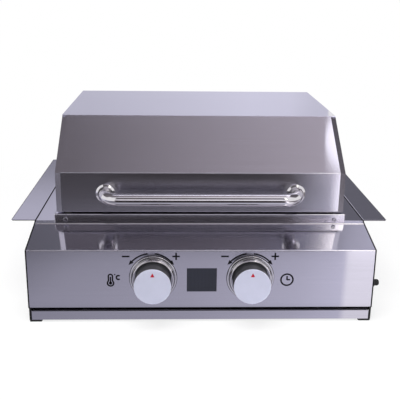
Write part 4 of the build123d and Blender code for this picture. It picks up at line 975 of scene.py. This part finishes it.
class GRILL_OT_stage(bpy.types.Operator):
    """Sets the floor, the cards, the light and the camera."""

    bl_idname = "grill.stage"
    bl_label = "Stage"

    def execute(self, context):
        stage = context.scene.grill_stage
        self.floor()
        self.cards()
        self.light(context.scene, stage)
        self.camera(context.scene, stage)
        context.scene.view_settings.view_transform = "Standard"
        return {"FINISHED"}

    def floor(self):
        """White floor that keeps the object's shadow."""
        material = bpy.data.materials.new("white_floor")
        nodes = Nodes(material)
        matt = nodes.add("ShaderNodeBsdfDiffuse")
        matt.inputs["Color"].default_value = (0.97, 0.97, 0.97, 1)
        distance = nodes.add("ShaderNodeVectorMath", operation="LENGTH")
        nodes.link(nodes.add("ShaderNodeTexCoord").outputs["Object"], distance.inputs[0])
        fade = nodes.ranged(distance.outputs["Value"], 0.7, 1.0, 0.35, 0.9)
        mix = nodes.add("ShaderNodeMixShader")
        nodes.link(nodes.math("MULTIPLY", nodes.seen(), fade), mix.inputs[0])
        nodes.link(matt.outputs[0], mix.inputs[1])
        nodes.link(nodes.add("ShaderNodeEmission").outputs[0], mix.inputs[2])
        nodes.link(mix.outputs[0], nodes.add("ShaderNodeOutputMaterial").inputs[0])
        stage_patch("floor", lying((-6, 6), (-6, 6), z=float(CAD_BOX[0][2]) - 0.0002), material)

    def cards(self):
        """Cards that the steel mirrors: a dim room in front and overhead, bright at the right."""
        # The light on the floor ends along a line that runs to the right as it comes forwards.
        lean = (1.0, 0.27, 0.0)
        near = ((-0.5, 0.25, DAY), (-0.36, 0.40, DAY), (-0.10, 0.49, DAY), (0.08, 0.63, DAY),
                (0.158, 0.76, DAY), (0.168, 1.08, WHITE), (0.34, 1.12, WHITE), (0.42, 0.25, DUSK))
        close = tuple((at, 0.86 * bright, colour) for at, bright, colour in near)
        far = ((-0.9, 0.12, DUSK), (-0.5, 0.06, DUSK), (0.0, 0.05, DUSK), (0.05, 0.08, DUSK),
               (0.09, 0.24, DAY), (0.14, 0.36, DAY), (0.155, 0.55, DAY), (0.164, 1.70, WHITE),
               (0.28, 1.90, WHITE), (0.34, 0.14, DUSK))
        distant = ((-0.6, 0.02, DUSK), (0.25, 0.04, DUSK), (0.41, 0.20, DUSK), (0.51, 0.26, DUSK),
                   (0.53, 1.4, DUSK), (0.56, 3.0, DUSK), (0.65, 3.2, DUSK))
        above = ((-1.0, 0.13, DUSK), (0.10, 0.16, DUSK), (0.45, 0.21, DUSK), (0.72, 0.25, DAY),
                 (0.90, 0.32, DAY), (0.955, 0.38, DAY), (0.97, 3.2, WARM), (1.05, 3.4, WARM))
        low_front = ((-0.5, 0.05, DUSK), (0.5, 0.10, DUSK))
        front_light = ((-0.8, 0.9, WHITE), (0.8, 1.3, WHITE))
        ceiling_front = ((-0.5, 0.5, WHITE), (0.7, 1.3, WHITE))
        fold_light = ((-0.6, 2.0, DAY), (0.6, 4.0, DAY))
        overhead = ((-0.40, 0.20, DUSK), (0.47, 0.54, DUSK), (0.75, 0.54, DUSK), (0.80, 0.16, DUSK))
        behind = ((-0.8, 0.15, DAY), (0.6, 0.29, DAY), (0.85, 0.38, DAY), (0.95, 0.53, DAY),
                  (1.05, 0.62, DAY))
        rear_left = ((0.40, 0.29, DAY), (0.46, 0.42, DAY), (0.52, 0.56, DAY), (0.60, 0.62, DAY))
        rear_middle = ((-0.35, 0.61, DAY), (0.0, 0.71, DAY), (0.22, 0.78, DAY), (0.36, 0.77, DAY),
                       (0.45, 0.68, DAY))
        around = ((0.27, 0.34, DAY), (0.60, 0.50, DAY), (1.2, 0.70, DAY), (2.6, 0.85, DAY))
        shaded = ((0.95, 0.18, DUSK), (1.5, 0.40, DUSK), (2.6, 0.70, DUSK))
        for side, name, outside in ((-1.0, "left", around), (1.0, "right", shaded)):
            inner, outer = sorted((side * 0.317, side * 0.95)), sorted((side * 0.95, side * 3.0))
            card(f"floor_{name}_card", lying(inner, (-0.2372, 2.6)), around, (side, 0.0, 0.0))
            card(f"floor_far_{name}_card", lying(outer, (-2.6, 2.6)), outside, (side, 0.0, 0.0))
        wide, front_x = (-0.95, 0.95), (-1.4, 1.4)
        for name, points, stops, along in (
            ("floor_back", lying((-0.317, 0.317), (0.274, 2.6)), around, BACK),
            ("close", lying(wide, (-0.29, -0.2372)), close, lean),
            ("near", lying(wide, (-0.59, -0.29)), near, lean),
            ("far", lying(wide, (-1.25, -0.59)), far, lean),
            ("distant", lying(wide, (-2.6, -1.25)), distant, ACROSS),
            ("front_wall", standing(front_x, -2.6, (0.0, 0.70)), low_front, ACROSS),
            ("front_light", standing(front_x, -2.6, (0.70, 1.60)), front_light, ACROSS),
            ("front_upper", standing(front_x, -2.6, (1.60, 4.2)), above, ACROSS),
            ("ceiling_front", lying((-1.2, 1.2), (-0.95, -0.50), CEILING), ceiling_front, ACROSS),
            ("ceiling", lying((-2.4, 2.4), (-0.50, 0.30), CEILING), overhead, ACROSS),
            ("lamp", disc(0.619, 0.007, 1.49, 0.147), even(1.75, WHITE), ACROSS),
            ("fold_light", lying((-0.60, 0.70), (0.30, 0.43), CEILING), fold_light, ACROSS),
            ("ceiling_left", lying((-2.4, -0.60), (0.30, 1.00), CEILING), even(0.14, DUSK), ACROSS),
            ("ceiling_right", lying((0.70, 2.4), (0.30, 1.00), CEILING), even(0.12, DUSK), ACROSS),
            ("rear_wall", standing((-3.0, 3.0), 1.8, (1.25, 4.2)), behind, ACROSS),
            ("rear_left", standing((-1.8, -0.47), 1.2, (0.0, 1.1)), rear_left, UP),
            ("rear_middle", standing((-0.47, 0.50), 1.2, (0.0, 1.1)), rear_middle, ACROSS),
            ("rear_right", standing((0.50, 1.8), 1.0, (0.0, 0.95)), even(0.16, DAY), ACROSS),
        ):
            card(f"{name}_card", points, stops, along)

    def light(self, scene, stage):
        """Even light on matt surfaces, a white background and two soft boxes."""
        world = bpy.data.worlds.new("studio")
        nodes = Nodes(world)
        back = nodes.add("ShaderNodeBackground")
        back.inputs["Color"].default_value = (1, 1, 1, 1)
        nodes.link(nodes.ranged(nodes.seen(), stage.sky, 1.0, 0.0, 1.0), back.inputs["Strength"])
        nodes.link(back.outputs[0], nodes.add("ShaderNodeOutputWorld").inputs[0])
        scene.world = world
        soft_box("overhead_box", (-0.3, -0.7, 2.0), (0, 0, 0.1), 1.6, stage.lamp)
        soft_box("right_box", (1.9, -0.8, 0.9), (0, 0, 0.1), 1.0, stage.side_lamp)

    def camera(self, scene, stage):
        """Camera of the photo, from its place, yaw, pitch and roll."""
        y, p, r = stage.yaw, stage.pitch, stage.roll
        ahead = Vector((-math.sin(y) * math.cos(p), math.cos(y) * math.cos(p), -math.sin(p)))
        right = Vector((math.cos(y), math.sin(y), 0))
        up = right.cross(ahead)
        across = right * math.cos(r) + up * math.sin(r)
        over = up * math.cos(r) - right * math.sin(r)
        lens = bpy.data.cameras.new("camera")
        lens.lens, lens.sensor_width = stage.lens, 36.0
        camera = bpy.data.objects.new("camera", lens)
        turn = Matrix((across, over, -ahead)).transposed().to_4x4()
        camera.matrix_world = Matrix.Translation(stage.camera) @ turn
        scene.collection.objects.link(camera)
        scene.camera = camera


# ---- add-on

STEPS = (
    GRILL_OT_finishes, GRILL_OT_handle, GRILL_OT_knob_rings, GRILL_OT_knobs, GRILL_OT_button,
    GRILL_OT_joint_shades, GRILL_OT_signs, GRILL_OT_stage,
)


class GRILL_PT_panel(bpy.types.Panel):
    """Lists the steps that dress the grill."""

    bl_idname = "GRILL_PT_panel"
    bl_label = "Grill"
    bl_space_type = "VIEW_3D"
    bl_region_type = "UI"
    bl_category = "Grill"

    def draw(self, context):
        for step in STEPS:
            self.layout.operator(step.bl_idname)
        for group in ("grill_sizes", "grill_colours", "grill_stage"):
            owner = getattr(context.scene, group)
            box = self.layout.box()
            for key in owner.bl_rna.properties.keys():
                if key not in ("rna_type", "name"):
                    box.prop(owner, key)


GROUPS = {"grill_sizes": GrillSizes, "grill_colours": GrillColours, "grill_stage": GrillStage}


def register():
    for kind in (*GROUPS.values(), *STEPS, GRILL_PT_panel):
        bpy.utils.register_class(kind)
    for name, kind in GROUPS.items():
        setattr(bpy.types.Scene, name, PointerProperty(type=kind))


def unregister():
    for name in GROUPS:
        delattr(bpy.types.Scene, name)
    for kind in (GRILL_PT_panel, *reversed(STEPS), *reversed(list(GROUPS.values()))):
        bpy.utils.unregister_class(kind)


def main():
    """Dresses the grill step by step."""
    register()
    for step in STEPS:
        group, name = step.bl_idname.split(".")
        getattr(getattr(bpy.ops, group), name)()
    bpy.context.view_layer.update()


if __name__ == "__main__":
    main()
